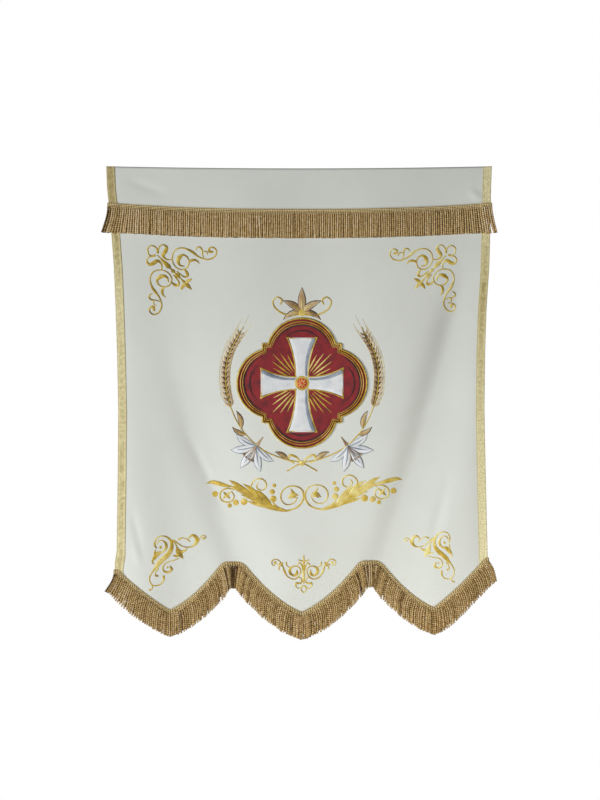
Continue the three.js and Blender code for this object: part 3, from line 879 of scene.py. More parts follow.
# Rayon satin stitch: threads side by side across the stroke, with a silky gloss
def threadMaterial(name, dark, base, light, metallic=0.0, roughness=0.42, sheen=0.12):
    material, tree = newMaterial(name)
    uv = addNode(tree, "ShaderNodeUVMap", out="UV", uv_map="UVMap")
    place = addNode(tree, "ShaderNodeTexCoord", out="Object")
    tone = addNode(tree, "ShaderNodeAttribute", out="Fac", attribute_name="tone")
    run = addNode(tree, "ShaderNodeVectorMath", {
        0: uv, 1: (1, stitching["slant"], 0)}, "Value", operation="DOT_PRODUCT")
    turns = addNode(tree, "ShaderNodeMath", (run, 2 * math.pi / (stitching["thread"] * mm)), 0,
                    operation="MULTIPLY")
    thread = addNode(tree, "ShaderNodeMath", (turns,), 0, operation="SINE")
    # Painted sheen: gloss patches paint the thread lighter and darker
    gloss = addNode(tree, "ShaderNodeTexNoise", {"Vector": place, "Scale": 55, "Detail": 2}, "Fac")
    strands = addNode(tree, "ShaderNodeTexNoise", {"Vector": place, "Scale": 480, "Detail": 1}, "Fac")
    blend = addNode(tree, "ShaderNodeMath", (strands, 0.35), 0, operation="MULTIPLY")
    blend = addNode(tree, "ShaderNodeMath", (gloss, 0.9, blend), 0, operation="MULTIPLY_ADD")
    tone = addNode(tree, "ShaderNodeMath", (tone, 0.62), 0, operation="SUBTRACT")
    blend = addNode(tree, "ShaderNodeMath", (blend, tone), 0, operation="ADD")
    ramp = addNode(tree, "ShaderNodeValToRGB", {"Fac": blend})
    stops = ramp.color_ramp.elements
    stops[0].color, stops[1].color = srgb(dark), srgb(light)
    stops[0].position, stops[1].position = 0.15, 0.9
    stops.new(0.5).color = srgb(base)
    # Painted shade: the grooves between the threads are painted darker
    grooves = addNode(tree, "ShaderNodeMath", (thread, 1), 0, operation="ADD")
    grooves = addNode(tree, "ShaderNodeMath", (grooves, 0.08), 0, operation="MULTIPLY")
    colour = addNode(tree, "ShaderNodeMix", {
        0: grooves, 6: ramp.outputs["Color"], 7: srgb(dark)}, 2, data_type="RGBA")
    bump = addNode(tree, "ShaderNodeBump", {
        "Strength": 0.45, "Distance": 0.18 * mm, "Height": thread}, "Normal")
    finishMaterial(tree, {
        "Base Color": colour, "Metallic": metallic, "Roughness": roughness, "Normal": bump,
        "Sheen Weight": sheen, "Sheen Roughness": 0.4})
    return material


# A smooth path through rows of (right, down, width), at even small steps
def smoothPath(rows):
    rows = np.asarray(rows, float)
    ends = np.concatenate([[2 * rows[0] - rows[1]], rows, [2 * rows[-1] - rows[-2]]])
    places = []
    for i in range(1, len(ends) - 2):
        p0, p1, p2, p3 = ends[i - 1:i + 3]
        count = max(2, math.ceil(math.hypot(*(p2 - p1)[:2]) / stitching["step"]))
        t = np.linspace(0, 1, count, endpoint=False)[:, None]
        places.append(0.5 * (2 * p1 + (p2 - p0) * t + (2 * p0 - 5 * p1 + 4 * p2 - p3) * t ** 2
                             + (3 * p1 - p0 - 3 * p2 + p3) * t ** 3))
    return np.concatenate(places + [rows[-1:]])


# Turns faces round if their shell's volume is negative, so that they point outwards
def facingOut(points, faces):
    corners = points[np.array([face[:3] for face in faces])]
    volume = np.einsum("ij,ij->i", corners[:, 0], np.cross(corners[:, 1], corners[:, 2])).sum()
    quads = [face for face in faces if len(face) == 4]
    if quads:
        corners = points[np.array([[face[0], face[2], face[3]] for face in quads])]
        volume += np.einsum("ij,ij->i", corners[:, 0], np.cross(corners[:, 1], corners[:, 2])).sum()
    return faces if volume > 0 else [face[::-1] for face in faces]


# Shells gathered for one embroidered piece
class Stitches:
    def __init__(self):
        self.points, self.faces, self.uv, self.tone, self.count = [], [], [], [], 0

    def add(self, points, faces, uv, tone):
        faces = facingOut(points, faces)
        self.faces += [tuple(int(i) + self.count for i in face) for face in faces]
        self.points.append(points)
        self.uv.append(uv)
        self.tone.append(np.broadcast_to(tone, len(points)))
        self.count += len(points)

    # A raised stroke along rows of (x, z, width) on the cloth
    def stroke(self, rows, tone=0.5, lift=0.0, roundEnds=True, flat=1.0):
        path = smoothPath(rows)
        place, width = path[:, :2], np.maximum(path[:, 2], 0.4)
        way = np.gradient(place, axis=0)
        way /= np.maximum(np.linalg.norm(way, axis=1, keepdims=True), 1e-6)
        if roundEnds:
            far, share = np.array(stitching["roundEnd"]).T
            place = np.concatenate([place[0] - way[0] * width[0] * far[:, None], place,
                                    place[-1] + way[-1] * width[-1] * far[::-1, None]])
            way = np.concatenate([way[:1]] * 3 + [way] + [way[-1:]] * 3)
            width = np.concatenate([width[0] * share, width, width[-1] * share[::-1]])
        side = np.stack([way[:, 1], -way[:, 0]], -1)
        arc = np.linspace(0, math.pi, 7)
        across = np.append(-np.cos(arc), 0)[None, :] * width[:, None] / 2
        peak = np.minimum(stitching["heightShare"] * width, stitching["maxHeight"] * flat)
        height = peak[:, None] * np.append(np.sin(arc), 0)[None, :] ** 0.8 + lift
        height[:, [0, -2, -1]] = -stitching["sink"]  # the last point is the middle of the underside
        x = place[:, None, 0] + side[:, None, 0] * across
        z = place[:, None, 1] + side[:, None, 1] * across
        y = foldAt(x, z) - frontOff - height
        n, k = x.shape
        ends = [(place[i, 0], place[i, 1]) for i in (0, -1)]
        tips = [(ex, float(foldAt(ex, ez)) - frontOff - lift, ez) for ex, ez in ends]
        points = np.concatenate([np.stack([x, y, z], -1).reshape(-1, 3), tips])
        number = np.arange(n * k).reshape(n, k)
        right = np.roll(number, -1, axis=1)
        faces = np.stack([number[:-1], number[1:], right[1:], right[:-1]], -1).reshape(-1, 4).tolist()
        faces += [(n * k, number[0, i], right[0, i]) for i in range(k)]
        faces += [(n * k + 1, right[-1, i], number[-1, i]) for i in range(k)]
        run = np.concatenate([[0], np.cumsum(np.linalg.norm(np.diff(place, axis=0), axis=1))])
        uv = np.stack([np.broadcast_to(run[:, None], x.shape), across], -1).reshape(-1, 2)
        uv = np.concatenate([uv, [[run[0], 0], [run[-1], 0]]])
        # Painted sheen: each part of a stroke is painted lighter or darker by the way it runs
        gleam = stitching["gleam"] * np.cos(2 * (np.arctan2(way[:, 1], way[:, 0]) - stitching["gleamTurn"]))
        tones = tone + np.concatenate([np.repeat(gleam, k), gleam[[0, -1]]])
        self.add(points, faces, uv, tones)

    # A domed filling inside an outline that every ray from its centre meets once
    def filling(self, centre, outline, height, tone, rings, power, lift=0.0):
        outline = np.asarray(outline, float) - centre
        inward = np.linspace(1, 0, rings)[:-1]
        shares = np.concatenate([np.linspace(0, 0.86, rings)[1:], [0.93, 0.98, 1], inward])
        heights = height * (1 - shares ** power) ** 0.6 + lift
        heights[-len(inward):] = -stitching["sink"]
        x = centre[0] + shares[:, None] * outline[None, :, 0]
        z = centre[1] + shares[:, None] * outline[None, :, 1]
        y = foldAt(x, z) - frontOff - heights[:, None]
        n, k = x.shape
        middle = float(foldAt(*centre)) - frontOff
        hubs = [(centre[0], middle - height - lift, centre[1]),
                (centre[0], middle + stitching["sink"], centre[1])]
        points = np.concatenate([np.stack([x, y, z], -1).reshape(-1, 3), hubs])
        number = np.arange(n * k).reshape(n, k)
        right = np.roll(number, -1, axis=1)
        faces = np.stack([number[:-1], number[1:], right[1:], right[:-1]], -1).reshape(-1, 4).tolist()
        faces += [(n * k, number[0, i], right[0, i]) for i in range(k)]
        faces += [(n * k + 1, right[-1, i], number[-1, i]) for i in range(k)]
        self.add(points, faces, points[:, [0, 2]] - centre, tone)

    def dot(self, x, z, radius, tone=0.5, lift=0.0):
        turns = np.linspace(0, 2 * math.pi, 18, endpoint=False)
        ring = np.stack([x + radius * np.cos(turns), z + radius * np.sin(turns)], -1)
        height = min(stitching["maxHeight"], radius * 0.5)
        self.filling((x, z), ring, height, tone, rings=3, power=2.2, lift=lift)

    def piece(self, name, material, slot):
        points, uv, tone = (np.concatenate(part) for part in (self.points, self.uv, self.tone))
        made = meshObject(name, points, self.faces, material, uv, tone)
        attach(made, "root")
        return made


# Charts of the scrolls: strokes of (right, down, width) from each motif's own corner or middle, with a
# few dots of (right, down, radius). A corner of the top pair is mirrored about its diagonal, the lower
# middle scroll and the border about their upright middle line.
topCorner = {
    "mirrored": {
        "outerScroll": [
            (60.5, 34.9, 2.6), (62.9, 21, 2.6), (72.2, 11.6, 2.8), (86.2, 9.3, 3), (100.1, 14, 4.2),
            (109.4, 19.8, 5.4), (123.4, 30.3, 3.3), (139.7, 36.1, 3), (153.7, 33.8, 3), (163, 24.5, 3),
            (163, 14, 3), (154.9, 7.7, 3), (146.7, 11.2, 3.7), (147.4, 17, 5.6), (153.7, 18.6, 4.7),
        ],
        "hook": [
            (116, 14, 2.1), (118.8, 8.8, 2.8), (125.7, 7.7, 3.5), (130.4, 14, 3.3), (131.1, 23.3, 2.6),
            (133.9, 31.4, 2.1),
        ],
        "hookTip": [(131.6, 18.6, 1.9), (137.4, 17, 2.3), (142.5, 19.8, 2.3), (143.2, 24.5, 1.9)],
        "ringScroll": [
            (60.5, 36.1, 2.6), (64, 46.6, 2.6), (72.2, 55.9, 2.6), (83.8, 59.8, 2.8), (95.5, 54.7, 2.8),
            (100.1, 41.9, 2.8), (95.5, 30.3, 3), (85, 25.6, 4.7), (76.8, 32.6, 7.9), (74.5, 41.9, 6.1),
            (79.2, 49.6, 4), (88.5, 51.9, 2.1),
        ],
        "spur": [
            (100.1, 42.6, 3.3), (103.6, 39.1, 5.1), (111.8, 37.3, 5.1), (118.8, 39.6, 3.7),
            (124.1, 45.4, 1.4),
        ],
        "tail": [
            (90.3, 60.5, 3), (95, 66.4, 5.6), (96.6, 73.4, 5.1), (92, 76.8, 4), (85, 74.5, 2.8),
            (78, 68.7, 2.6), (72.2, 64, 2.3),
        ],
        "lobe": [
            (28.6, 14, 2.3), (31.4, 5.8, 2.6), (39.6, 1.9, 3), (47.7, 7, 5.1), (45.4, 16.3, 7.7),
            (39.6, 25.6, 6.5), (43.1, 32.6, 4.2), (51.2, 36.8, 2.6), (60.5, 35.6, 2.3),
        ],
        "petal": [(92, 90, 4.5), (98.5, 85.7, 7), (105.5, 82, 3)],
    },
    "single": {
        "terminal": [
            (27.2, 19.3, 5.1), (26.1, 12.8, 3.5), (19.8, 5.8, 2.8), (11.6, 4, 2.8), (4.9, 9.3, 2.8),
            (4, 15.8, 2.8), (6.3, 24, 2.8), (12.8, 28.4, 3.5), (19.3, 27.2, 5.1),
        ],
        "stem": [
            (26.3, 26.3, 1.9), (34.9, 34.9, 3.5), (45.4, 45.4, 7.7), (52.4, 52.4, 8.4), (58, 58, 2.8),
            (62.9, 62.9, 7.7), (67.3, 67.3, 2.8), (73.4, 73.4, 8.6), (78.9, 78.9, 3.4),
            (82.9, 82.9, 2.8), (89, 89, 6), (95.9, 95.9, 8), (104.5, 104.5, 3.3),
        ],
    },
    "dots": [],
}
footCorner = {
    "mirrored": {
    },
    "single": {
        "leafStem": [
            (32.6, 1.9, 2.8), (44.2, 6.1, 4), (52.6, 17.5, 6.3), (51.9, 32.6, 8.2), (44.2, 45.4, 10),
            (33.8, 55.4, 10.5), (23.3, 65.9, 9.8), (16.3, 75.7, 7), (8.8, 85, 3.3), (2.3, 96.6, 2.6),
            (2.3, 107.1, 2.6), (8.2, 116, 2.6), (18.6, 117.6, 2.6), (29.1, 112.5, 2.8), (34.5, 104.3, 4),
            (34.5, 96.6, 4.9),
        ],
        "outerCurl": [
            (32.6, 1.9, 2.8), (22.1, 4.7, 2.6), (15.1, 12.8, 2.8), (13.5, 23.3, 4), (17.5, 30.3, 2.8),
        ],
        "innerCurl": [
            (18.2, 20.5, 2.3), (23.3, 13.5, 2.3), (31.4, 13, 2.8), (39.1, 19.3, 5.1), (40.3, 29.1, 5.6),
            (33.8, 38, 4.2), (24.5, 43.1, 3.3),
        ],
        "leaf": [
            (30.3, 39.1, 2.3), (22.1, 42.4, 8.4), (15.8, 48.9, 9.8), (9.3, 58.2, 4.4), (8.2, 64.3, 2.8),
            (12.3, 66.6, 2.1),
        ],
        "leafLobe": [(14.9, 34.9, 1.9), (14.4, 41.9, 5.1), (16.3, 48.9, 5.1)],
        "armScroll": [
            (51.2, 11.6, 3), (60.5, 14, 3), (67.5, 19.8, 2.8), (76.8, 25.6, 2.6), (88.5, 28.6, 2.6),
            (100.1, 26.8, 3.3), (108.5, 20.5, 6.5), (111.8, 11.6, 8.6), (108.3, 4.2, 7.5),
            (101.3, 0.7, 5.4), (94.3, 4.7, 3.3), (91.5, 10, 2.1),
        ],
        "armLoop": [
            (69.4, 10.5, 4.4), (75.7, 7.2, 2.6), (85, 8.4, 2.3), (92, 12.8, 2.3), (95.5, 15.1, 2.1),
        ],
        "endCurl": [
            (115.3, 15.1, 2.3), (118.8, 6.5, 2.3), (123.4, 1.9, 2.3), (129.9, 2.1, 2.3),
            (132.7, 7.5, 2.1),
        ],
        "starStem": [
            (56.6, 14, 2.8), (61.7, 21, 2.8), (65.2, 29.1, 3.7), (67.5, 36.1, 10.2), (71, 43.1, 12.1),
            (75, 48.9, 7.5), (79.2, 54.7, 1.9),
        ],
        "starRight": [(68.7, 38.4, 7), (76.8, 39.1, 6.8), (83.8, 36.1, 5.1), (88.5, 32.1, 1.9)],
        "starLeft": [(69.9, 44.2, 6.5), (64, 48.9, 5.8), (55.9, 47.3, 1.9)],
        "lowSpiral": [
            (69.9, 54.5, 1.9), (58.2, 58.9, 2.1), (47.7, 61.7, 2.3), (38.4, 66.4, 2.3),
            (33.1, 74.5, 2.6), (34, 82.2, 3.5), (40.8, 86.6, 4.7), (48.9, 85, 4.7), (53.1, 79.2, 5.4),
            (49.6, 73.6, 3.7),
        ],
        "innerTail": [
            (22.1, 78, 2.8), (18.2, 82.7, 2.3), (15.4, 88.5, 2.3), (15.8, 93.6, 3.5), (19.3, 95, 5.1),
        ],
        "footTail": [(7.7, 116.4, 2.3), (8.4, 122.3, 2.3), (5.1, 126.7, 3.3), (2.8, 127.1, 4.4)],
    },
    "dots": [(27.2, 28.9, 3), (127.1, 7.9, 2.8), (43.3, 75.4, 2.1)],
}
footMiddle = {
    "mirrored": {
        "trefoil": [(0, 12.3, 3.3), (5.4, 11.2, 3.3), (11.2, 9.3, 3)],
        "upLeaf": [(2.1, 30.3, 3.7), (4.4, 22.1, 3.5), (8.2, 17, 3), (12.3, 17, 3.3), (14.7, 21, 2.1)],
        "ring": [
            (19.3, 53.6, 2.3), (11.4, 46.6, 2.3), (7.2, 36.8, 2.6), (10, 27.9, 2.6), (19.3, 23.8, 2.8),
            (28.6, 26.3, 4.4), (33.3, 33.8, 6.5), (31, 41.9, 6.1), (22.8, 46.1, 5.1), (16.5, 41.4, 6.5),
            (16.1, 34.5, 3.3),
        ],
        "sweep": [
            (13, 50.3, 2.6), (21.7, 54.5, 2.8), (32.1, 52.6, 2.8), (41, 45.4, 3), (45.6, 36.1, 5.1),
            (48.7, 26.8, 3.3), (52.6, 17.7, 2.6), (60.1, 9.8, 2.6), (68.9, 7.9, 2.6), (75.7, 13, 2.6),
            (74.3, 20.5, 2.3), (68.7, 22.8, 1.9),
        ],
        "sweepHook": [(49.1, 24.5, 2.3), (54.3, 22.4, 2.8), (58.9, 26.1, 2.8), (58, 32.6, 2.1)],
        "sweepBud": [(50.3, 15.8, 2.8), (55.4, 18.2, 4.2), (61.2, 20.5, 2.8)],
        "tendril": [(29.8, 27, 2.3), (36.8, 25.1, 2.3), (41, 20.5, 2.8), (41.4, 15.1, 3.5)],
        "footLeaf": [
            (12.3, 48.9, 2.3), (6.1, 53.6, 2.6), (4.4, 60.5, 3), (10, 64.7, 4.2), (17.7, 64.3, 4.9),
            (19.3, 69.9, 2.8), (14.2, 75.7, 2.3), (7.2, 75.2, 2.3), (3, 69.9, 2.3),
        ],
        "drop": [(1.6, 70.3, 2.1), (5.8, 75.9, 2.3), (5.4, 81.5, 2.3), (0, 86.9, 2.8)],
    },
    "single": {
        "stem": [
            (0, -0.5, 2.8), (0, 4.7, 4.4), (0, 9.3, 3.3), (0, 14, 5.1), (0, 19.8, 3.7), (0, 30.3, 5.8),
            (0, 41.9, 6.5), (0, 53.6, 5.8), (0, 64.7, 2.3),
        ],
    },
    "dots": [(67.8, 15.8, 3.5)],
}
borderScroll = {
    "mirrored": {
        "bigRing": [
            (98.5, 65.2, 11.6), (79.9, 76.1, 8.8), (61.2, 82.4, 6.1), (42.6, 84.8, 4.7), (24, 80.6, 3.5),
            (10, 71, 4), (2.1, 55.9, 4.2), (3.7, 39.6, 3.7), (14.7, 29.8, 3.3), (31, 27.7, 3),
            (44.9, 32.6, 3), (53.8, 44.2, 3), (53.8, 58.2, 3), (45.6, 68.7, 2.8), (33.3, 70.6, 2.6),
            (21.7, 64, 2.3), (16.5, 54.7, 2.1),
        ],
        "budSide": [(38, 55.9, 1.9), (31, 48.4, 6.5), (22.8, 47, 7.5), (15.1, 49.8, 2.3)],
        "budTip": [(31, 34.5, 1.9), (27.5, 40.8, 5.4), (21.7, 47.7, 5.1)],
        "budFoot": [(33.3, 56.6, 2.3), (26.3, 52.6, 5.6), (18.6, 54.3, 2.3)],
        "leafBody": [
            (44.9, 83.8, 4.7), (65.9, 79.6, 9.3), (84.5, 72.2, 14.9), (103.2, 61.7, 17.2),
            (121.8, 51.2, 17.2), (138.1, 40.8, 14.4), (154.4, 33.5, 10.7), (167.2, 28.9, 4.7),
        ],
        "leafTip": [
            (166, 28.6, 2.3), (182.3, 25.6, 7.5), (199.8, 21, 10.2), (214.9, 17.9, 8.4),
            (227.7, 20, 1.4),
        ],
        "leafUp": [(135.8, 39.6, 12.8), (149.7, 30.3, 13.5), (162.5, 20.5, 8.8), (175.3, 13.5, 1.4)],
        "leafMid": [(110.1, 53.6, 14), (120.6, 38.4, 13), (129.9, 29.1, 7.5), (142.7, 21.9, 1.4)],
        "leafIn": [(84.5, 66.4, 14), (95, 52.4, 12.1), (104.3, 42.4, 7.9), (112.5, 36.1, 1.9)],
        "leafLow": [(105.5, 59.4, 10.7), (121.8, 55, 9.3), (135.8, 50.8, 5.1), (147.4, 47, 1.4)],
        "leafFoot": [(93.8, 71, 11.6), (110.1, 68.5, 8.4), (123, 65.2, 4.7), (133.4, 61.2, 1.4)],
        "highSpiral": [
            (116.7, 42.8, 3.5), (123.4, 32.6, 3), (122.5, 21, 3), (114.8, 12.3, 3), (103.2, 9.3, 3.3),
            (92.7, 14, 3.3), (88.5, 23.3, 3.3), (91.5, 32.6, 3), (100.1, 36.3, 3), (108.7, 32.6, 3),
            (111.3, 25.1, 2.8), (107.3, 19.6, 2.1),
        ],
        "sideRing": [
            (166, 34.5, 2.8), (180, 32.4, 3.3), (192.6, 38, 3.3), (196.8, 48.9, 3.3), (192.6, 60.1, 3.5),
            (180, 64.7, 3.5), (168.4, 60.5, 3), (163.7, 50.1, 2.8), (169.3, 39.6, 2.6),
        ],
        "petalA": [(188.6, 55, 2.8), (180.9, 48, 7.5), (172.5, 41, 2.8)],
        "petalB": [(187.9, 41.4, 2.3), (180.9, 48, 7), (173.9, 55.9, 2.3)],
        "tendril": [(73.8, 62.4, 1.9), (69.4, 69.9, 3.3), (60.5, 76.8, 3.7), (49.6, 81, 2.8)],
    },
    "single": {
    },
    "dots": [
        (207.9, 45.4, 6.5), (159.5, 65.2, 6.5), (140.4, 62.9, 7.5), (173.9, 72.2, 4.7),
        (69.9, 25.6, 4.2), (74.7, 40.3, 5.8), (72, 56.6, 7),
    ],
}


# Where each scroll lies: its chart, its corner or middle, its flip and how it is mirrored. "shear" is how
# much further down a place lies for its way right, and how much further right for its way down. "rise" is
# how much higher its own side and its mirrored side end, "tall" stretches it downwards.
# "tones" are the tones of its own side and its mirrored side: scrolls and halves on the right are painted
# lighter, as painted highlight, and those on the left darker, as painted shade. "lit" paints a few strokes
# lighter still, as painted highlight.
scrolls = [
    {"name": "scrollTopLeft", "chart": topCorner, "at": (-357.4, -176), "size": 1.0,
     "flip": 1, "mirror": "diagonal", "tones": (0.44, 0.44), "bold": 0.03},
    {"name": "scrollTopRight", "chart": topCorner, "at": (366.4, -175.5), "size": 0.955,
     "flip": -1, "mirror": "diagonal", "tones": (0.58, 0.58), "bold": 0.018, "shear": (0.035, -0.03)},
    {"name": "scrollFootLeft", "chart": footCorner, "at": (-350.5, -853.6), "size": 1.0,
     "flip": 1, "mirror": "none", "tones": (0.48, 0.48), "bold": 0.01},
    {"name": "scrollFootRight", "chart": footCorner, "at": (361.5, -839.5), "size": 0.89, "tall": 1.085,
     "flip": -1, "mirror": "none", "tones": (0.64, 0.64), "bold": 0.01, "shear": (0.165, 0),
     "lit": {"starStem": 0.16, "starRight": 0.16, "starLeft": 0.16}},
    {"name": "scrollFootMiddle", "chart": footMiddle, "at": (9.8, -902.6), "size": 0.98,
     "flip": 1, "mirror": "upright", "tones": (0.58, 0.46), "bold": 0.0},
    {"name": "scrollBorder", "chart": borderScroll, "at": (11.2, -711.6), "size": 1.0,
     "flip": 1, "mirror": "upright", "tones": (0.6, 0.5), "bold": 0.0, "rise": (6.5, -1.5)},
]


def makeScroll(scroll, material):
    chart, (atX, atZ), flip, size = scroll["chart"], scroll["at"], scroll["flip"], scroll["size"]
    moreDown, moreRight = scroll.get("shear", (0, 0))
    lit, rise = scroll.get("lit", {}), scroll.get("rise", (0, 0))
    stitches = Stitches()

    def lay(row, mirrored):
        swapped = scroll["mirror"] == "diagonal" and mirrored
        side = -flip if scroll["mirror"] == "upright" and mirrored else flip
        rows = []
        for r, d, w in row:
            right, down = (d, r) if swapped else (r, d)
            right, down = right + moreRight * down, down + moreDown * right
            down = down * scroll.get("tall", 1) - rise[mirrored] * min(1, right / 100) / size
            wide = w * (1.08 + scroll["bold"] * w) + 0.15
            rows.append((atX + side * size * right, atZ - size * down, size * wide))
        return rows

    for name, row in chart["single"].items():
        stitches.stroke(lay(row, False), scroll["tones"][0] + lit.get(name, 0))
    sides = (False, True) if scroll["mirror"] != "none" else (False,)
    for row in chart["mirrored"].values():
        for mirrored in sides:
            tone = scroll["tones"][mirrored] + dice.uniform(-0.06, 0.06)
            stitches.stroke(lay(row, mirrored), tone)
    for mirrored in sides:
        for x, z, radius in lay(chart["dots"], mirrored):
            stitches.dot(x, z, radius, scroll["tones"][mirrored])
    return stitches.piece(scroll["name"], material, "gold_thread")


goldThread = threadMaterial("rayon satin stitch, gold", "#846c1e", "#d2b036", "#fff0a0", metallic=0.1,
                            sheen=0.03)
embroidery = [makeScroll(scroll, goldThread) for scroll in scrolls]
print("scrolls:", sum(len(piece.data.polygons) for piece in embroidery), "faces")


# Medallion: a crimson field in a gold cord with a white cross, wheat, lilies and a crown leaf

medallion = {
    "centre": (6, -500),
    "lobeAway": 70,
    "lobeRadius": 80,
    "squareHalf": 91,
    "fieldHeight": 0.9,
    "fieldArcs": [(66, 1.25, 7.5), (52, 1.0, 5.0)],  # radius, half angle and width of each lobe's shading
    # The border's cords: their outline over the field's, girth and how far out they lie
    "cords": [(1.005, 1.0, 1.2), (0.955, 0.5, 1.4), (0.92, 0.36, 1.3)],
    "cordWidth": 5.4,
    "cordTurn": 12,
    "crossArms": {"up": 106, "side": 96, "down": 114, "inner": 30, "outer": 70},
    "rays": {"count": 5, "apart": 0.155, "from": 34, "to": 96, "shorter": 11},
    "roundel": {"rim": 17, "heart": 11.5, "petals": 8},
    "wheatStem": [(-34, -204), (0, -186), (44, -176), (96, -152), (140, -108), (168, -50), (178, 10),
                  (170, 66), (142, 122)],
    "stemTail": [(3, -185, 3), (14, -172, 5), (28, -168, 6), (32, -177, 5), (20, -186, 3)],
    "earShare": 0.42,  # the ear takes this much of its stem
    "earBed": [(0.02, 5), (0.3, 14), (0.6, 14), (0.9, 8), (1, 3)],
    "grain": {"length": 16, "width": 6.4, "spacing": 11.5, "spread": 36, "awn": 26},
    # Leaves of each stem: share of its length, side, length and width
    "leaves": [(0.16, 1, 34, 10), (0.46, 1, 40, 11), (0.42, -1, 34, 10)],
    # Petals, from the rear ones to the front one: spread in degrees, size and how far up they lie
    "lily": {"at": (106, -146), "turn": 36, "petal": 62,
             "petals": [(-62, 0.84, 0), (62, 0.84, 0), (-33, 0.95, 0.5), (33, 0.95, 0.5), (0, 1, 1)]},
    # Leaves of the crown: spread in degrees, length and width
    "crown": {"at": (0, 164),
              "leaves": [(-76, 44, 12), (76, 44, 12), (-40, 50, 15), (40, 50, 15), (0, 56, 18)],
              "curl": [(4, 160, 3), (22, 158, 4), (44, 162, 4.4), (62, 174, 4), (68, 190, 3.4),
                       (58, 200, 3.6), (47, 194, 4.4), (50, 184, 3)]},
}


def atCentre(points):
    cx, cz = medallion["centre"]
    return [(cx + p[0], cz + p[1], *p[2:]) for p in points]


def mirrorRow(rows, side):
    return [(side * x, z, width) for x, z, width in rows]


def fieldOutline(scale=1.0, count=240):
    turns = np.linspace(0, 2 * math.pi, count, endpoint=False)
    aside = (turns + math.pi / 4) % (math.pi / 2) - math.pi / 4
    away, radius = medallion["lobeAway"], medallion["lobeRadius"]
    lobe = away * np.cos(aside) + np.sqrt(radius ** 2 - (away * np.sin(aside)) ** 2)
    reach = np.maximum(lobe, medallion["squareHalf"] / np.cos(aside)) * scale
    cx, cz = medallion["centre"]
    return np.stack([cx + reach * np.cos(turns), cz + reach * np.sin(turns)], -1)


def along(turn, far, aside=0.0):
    c, s = math.cos(turn), math.sin(turn)
    return (far * c - aside * s, far * s + aside * c)


def leafRow(start, turn, length, width, bend=0.0, shares=(0.25, 0.85, 1, 0.7, 0.12)):
    rows = []
    for k, share in enumerate(shares):
        t = k / (len(shares) - 1)
        angle = turn + bend * t
        x, z = along(angle, length * t)
        rows.append((start[0] + x, start[1] + z, width * share))
    return rows


def makeField(crimson, deepCrimson):
    field = Stitches()
    field.filling(medallion["centre"], fieldOutline(), medallion["fieldHeight"], 0.5, rings=12, power=14)
    pieces = [field.piece("medallionField", crimson, "crimson_thread")]
    shade = Stitches()
    for quarter in range(4):
        middle = quarter * math.pi / 2
        hub = along(middle, medallion["lobeAway"])
        for radius, spread, width in medallion["fieldArcs"]:
            arc = [middle + spread * (k / 8 - 1) for k in range(17)]
            rows = [(hub[0] + radius * math.cos(a), hub[1] + radius * math.sin(a),
                     width * math.sin(math.pi * (k + 0.6) / 17.2)) for k, a in enumerate(arc)]
            shade.stroke(atCentre(rows), 0.45, lift=medallion["fieldHeight"] - 0.2, flat=0.5)
    pieces.append(shade.piece("medallionShade", deepCrimson, "crimson_thread"))
    return pieces


def makeBorderCords(material):
    lines = []
    for scale, girth, out in medallion["cords"]:
        ring = fieldOutline(scale, 420)
        ring = np.concatenate([ring, ring[:2]])
        y = foldAt(ring[:, 0], ring[:, 1]) - frontOff - out
        lines.append({"path": np.stack([ring[:, 0], y, ring[:, 1]], -1), "girth": girth, "tone": 0.5})
    sizes = {"Width": medallion["cordWidth"] * mm, "Turn": medallion["cordTurn"] * mm, "Step": 1.6 * mm,
             "Plies": 3, "Hollow": 0.6}
    cords = growAlong("medallionCords", twistedCord, lines, sizes, material)
    return cords


def makeCross(pale, shadeThread, gold, crimson):
    arms, rays, roundel = medallion["crossArms"], medallion["rays"], medallion["roundel"]
    lift = medallion["fieldHeight"] - 0.1
    white, grey, edge, heart = Stitches(), Stitches(), Stitches(), Stitches()
    for quarter, reach in enumerate((arms["side"], arms["up"], arms["side"], arms["down"])):
        turn = quarter * math.pi / 2
        # Half the arm's width at shares of its length
        half = [(t, (arms["inner"] + (arms["outer"] - arms["inner"]) * t ** 2.2) / 2)
                for t in np.linspace(0, 1, 9)]
        spine = [(*along(turn, 8 + (reach - 8) * t), 2 * h) for t, h in half]
        white.stroke(atCentre(spine), 0.6, lift=lift, roundEnds=False)
        for side in (-1, 1):
            rim = [(*along(turn, 13 + (reach - 13) * t, side * h), 3.2) for t, h in half]
            edge.stroke(atCentre(rim), 0.5, lift=lift)
            inner = [(*along(turn, 18 + (reach - 24) * t, side * (h - 6 - 3 * t)), 4 + 6 * t)
                     for t, h in half]
            if side * (1 if quarter in (0, 3) else -1) > 0:  # the side away from the light
                grey.stroke(atCentre(inner), 0.5, lift=lift + 0.9)
        cap = [(*along(turn, reach - 3 * (1 - s ** 2), s * arms["outer"] / 2), 3.4)
               for s in np.linspace(-1, 1, 9)]
        edge.stroke(atCentre(cap), 0.5, lift=lift)
        for k in range(rays["count"]):
            aside = k - rays["count"] // 2
            ray = math.pi / 4 + turn + aside * rays["apart"]
            far = rays["to"] - abs(aside) * rays["shorter"]
            rows = [(*along(ray, rays["from"] + (far - rays["from"]) * t), w)
                    for t, w in ((0, 1.2), (0.35, 3.8), (0.7, 3.0), (1, 0.8))]
            edge.stroke(atCentre(rows), 0.55, lift=lift)
    cx, cz = medallion["centre"]
    edge.dot(cx, cz, roundel["rim"], 0.5, lift=lift + 1.0)
    heart.dot(cx, cz, roundel["heart"], 0.62, lift=lift + 2.0)
    for k in range(roundel["petals"]):
        turn = k * 2 * math.pi / roundel["petals"]
        edge.stroke(atCentre(leafRow(along(turn, 3), turn, 7, 2.2)), 0.7, lift=lift + 3.1)
    return [white.piece("crossWhite", pale, "pale_thread"),
            grey.piece("crossShade", shadeThread, "pale_thread"),
            edge.piece("crossGold", gold, "gold_thread"),
            heart.piece("crossRoundel", crimson, "crimson_thread")]


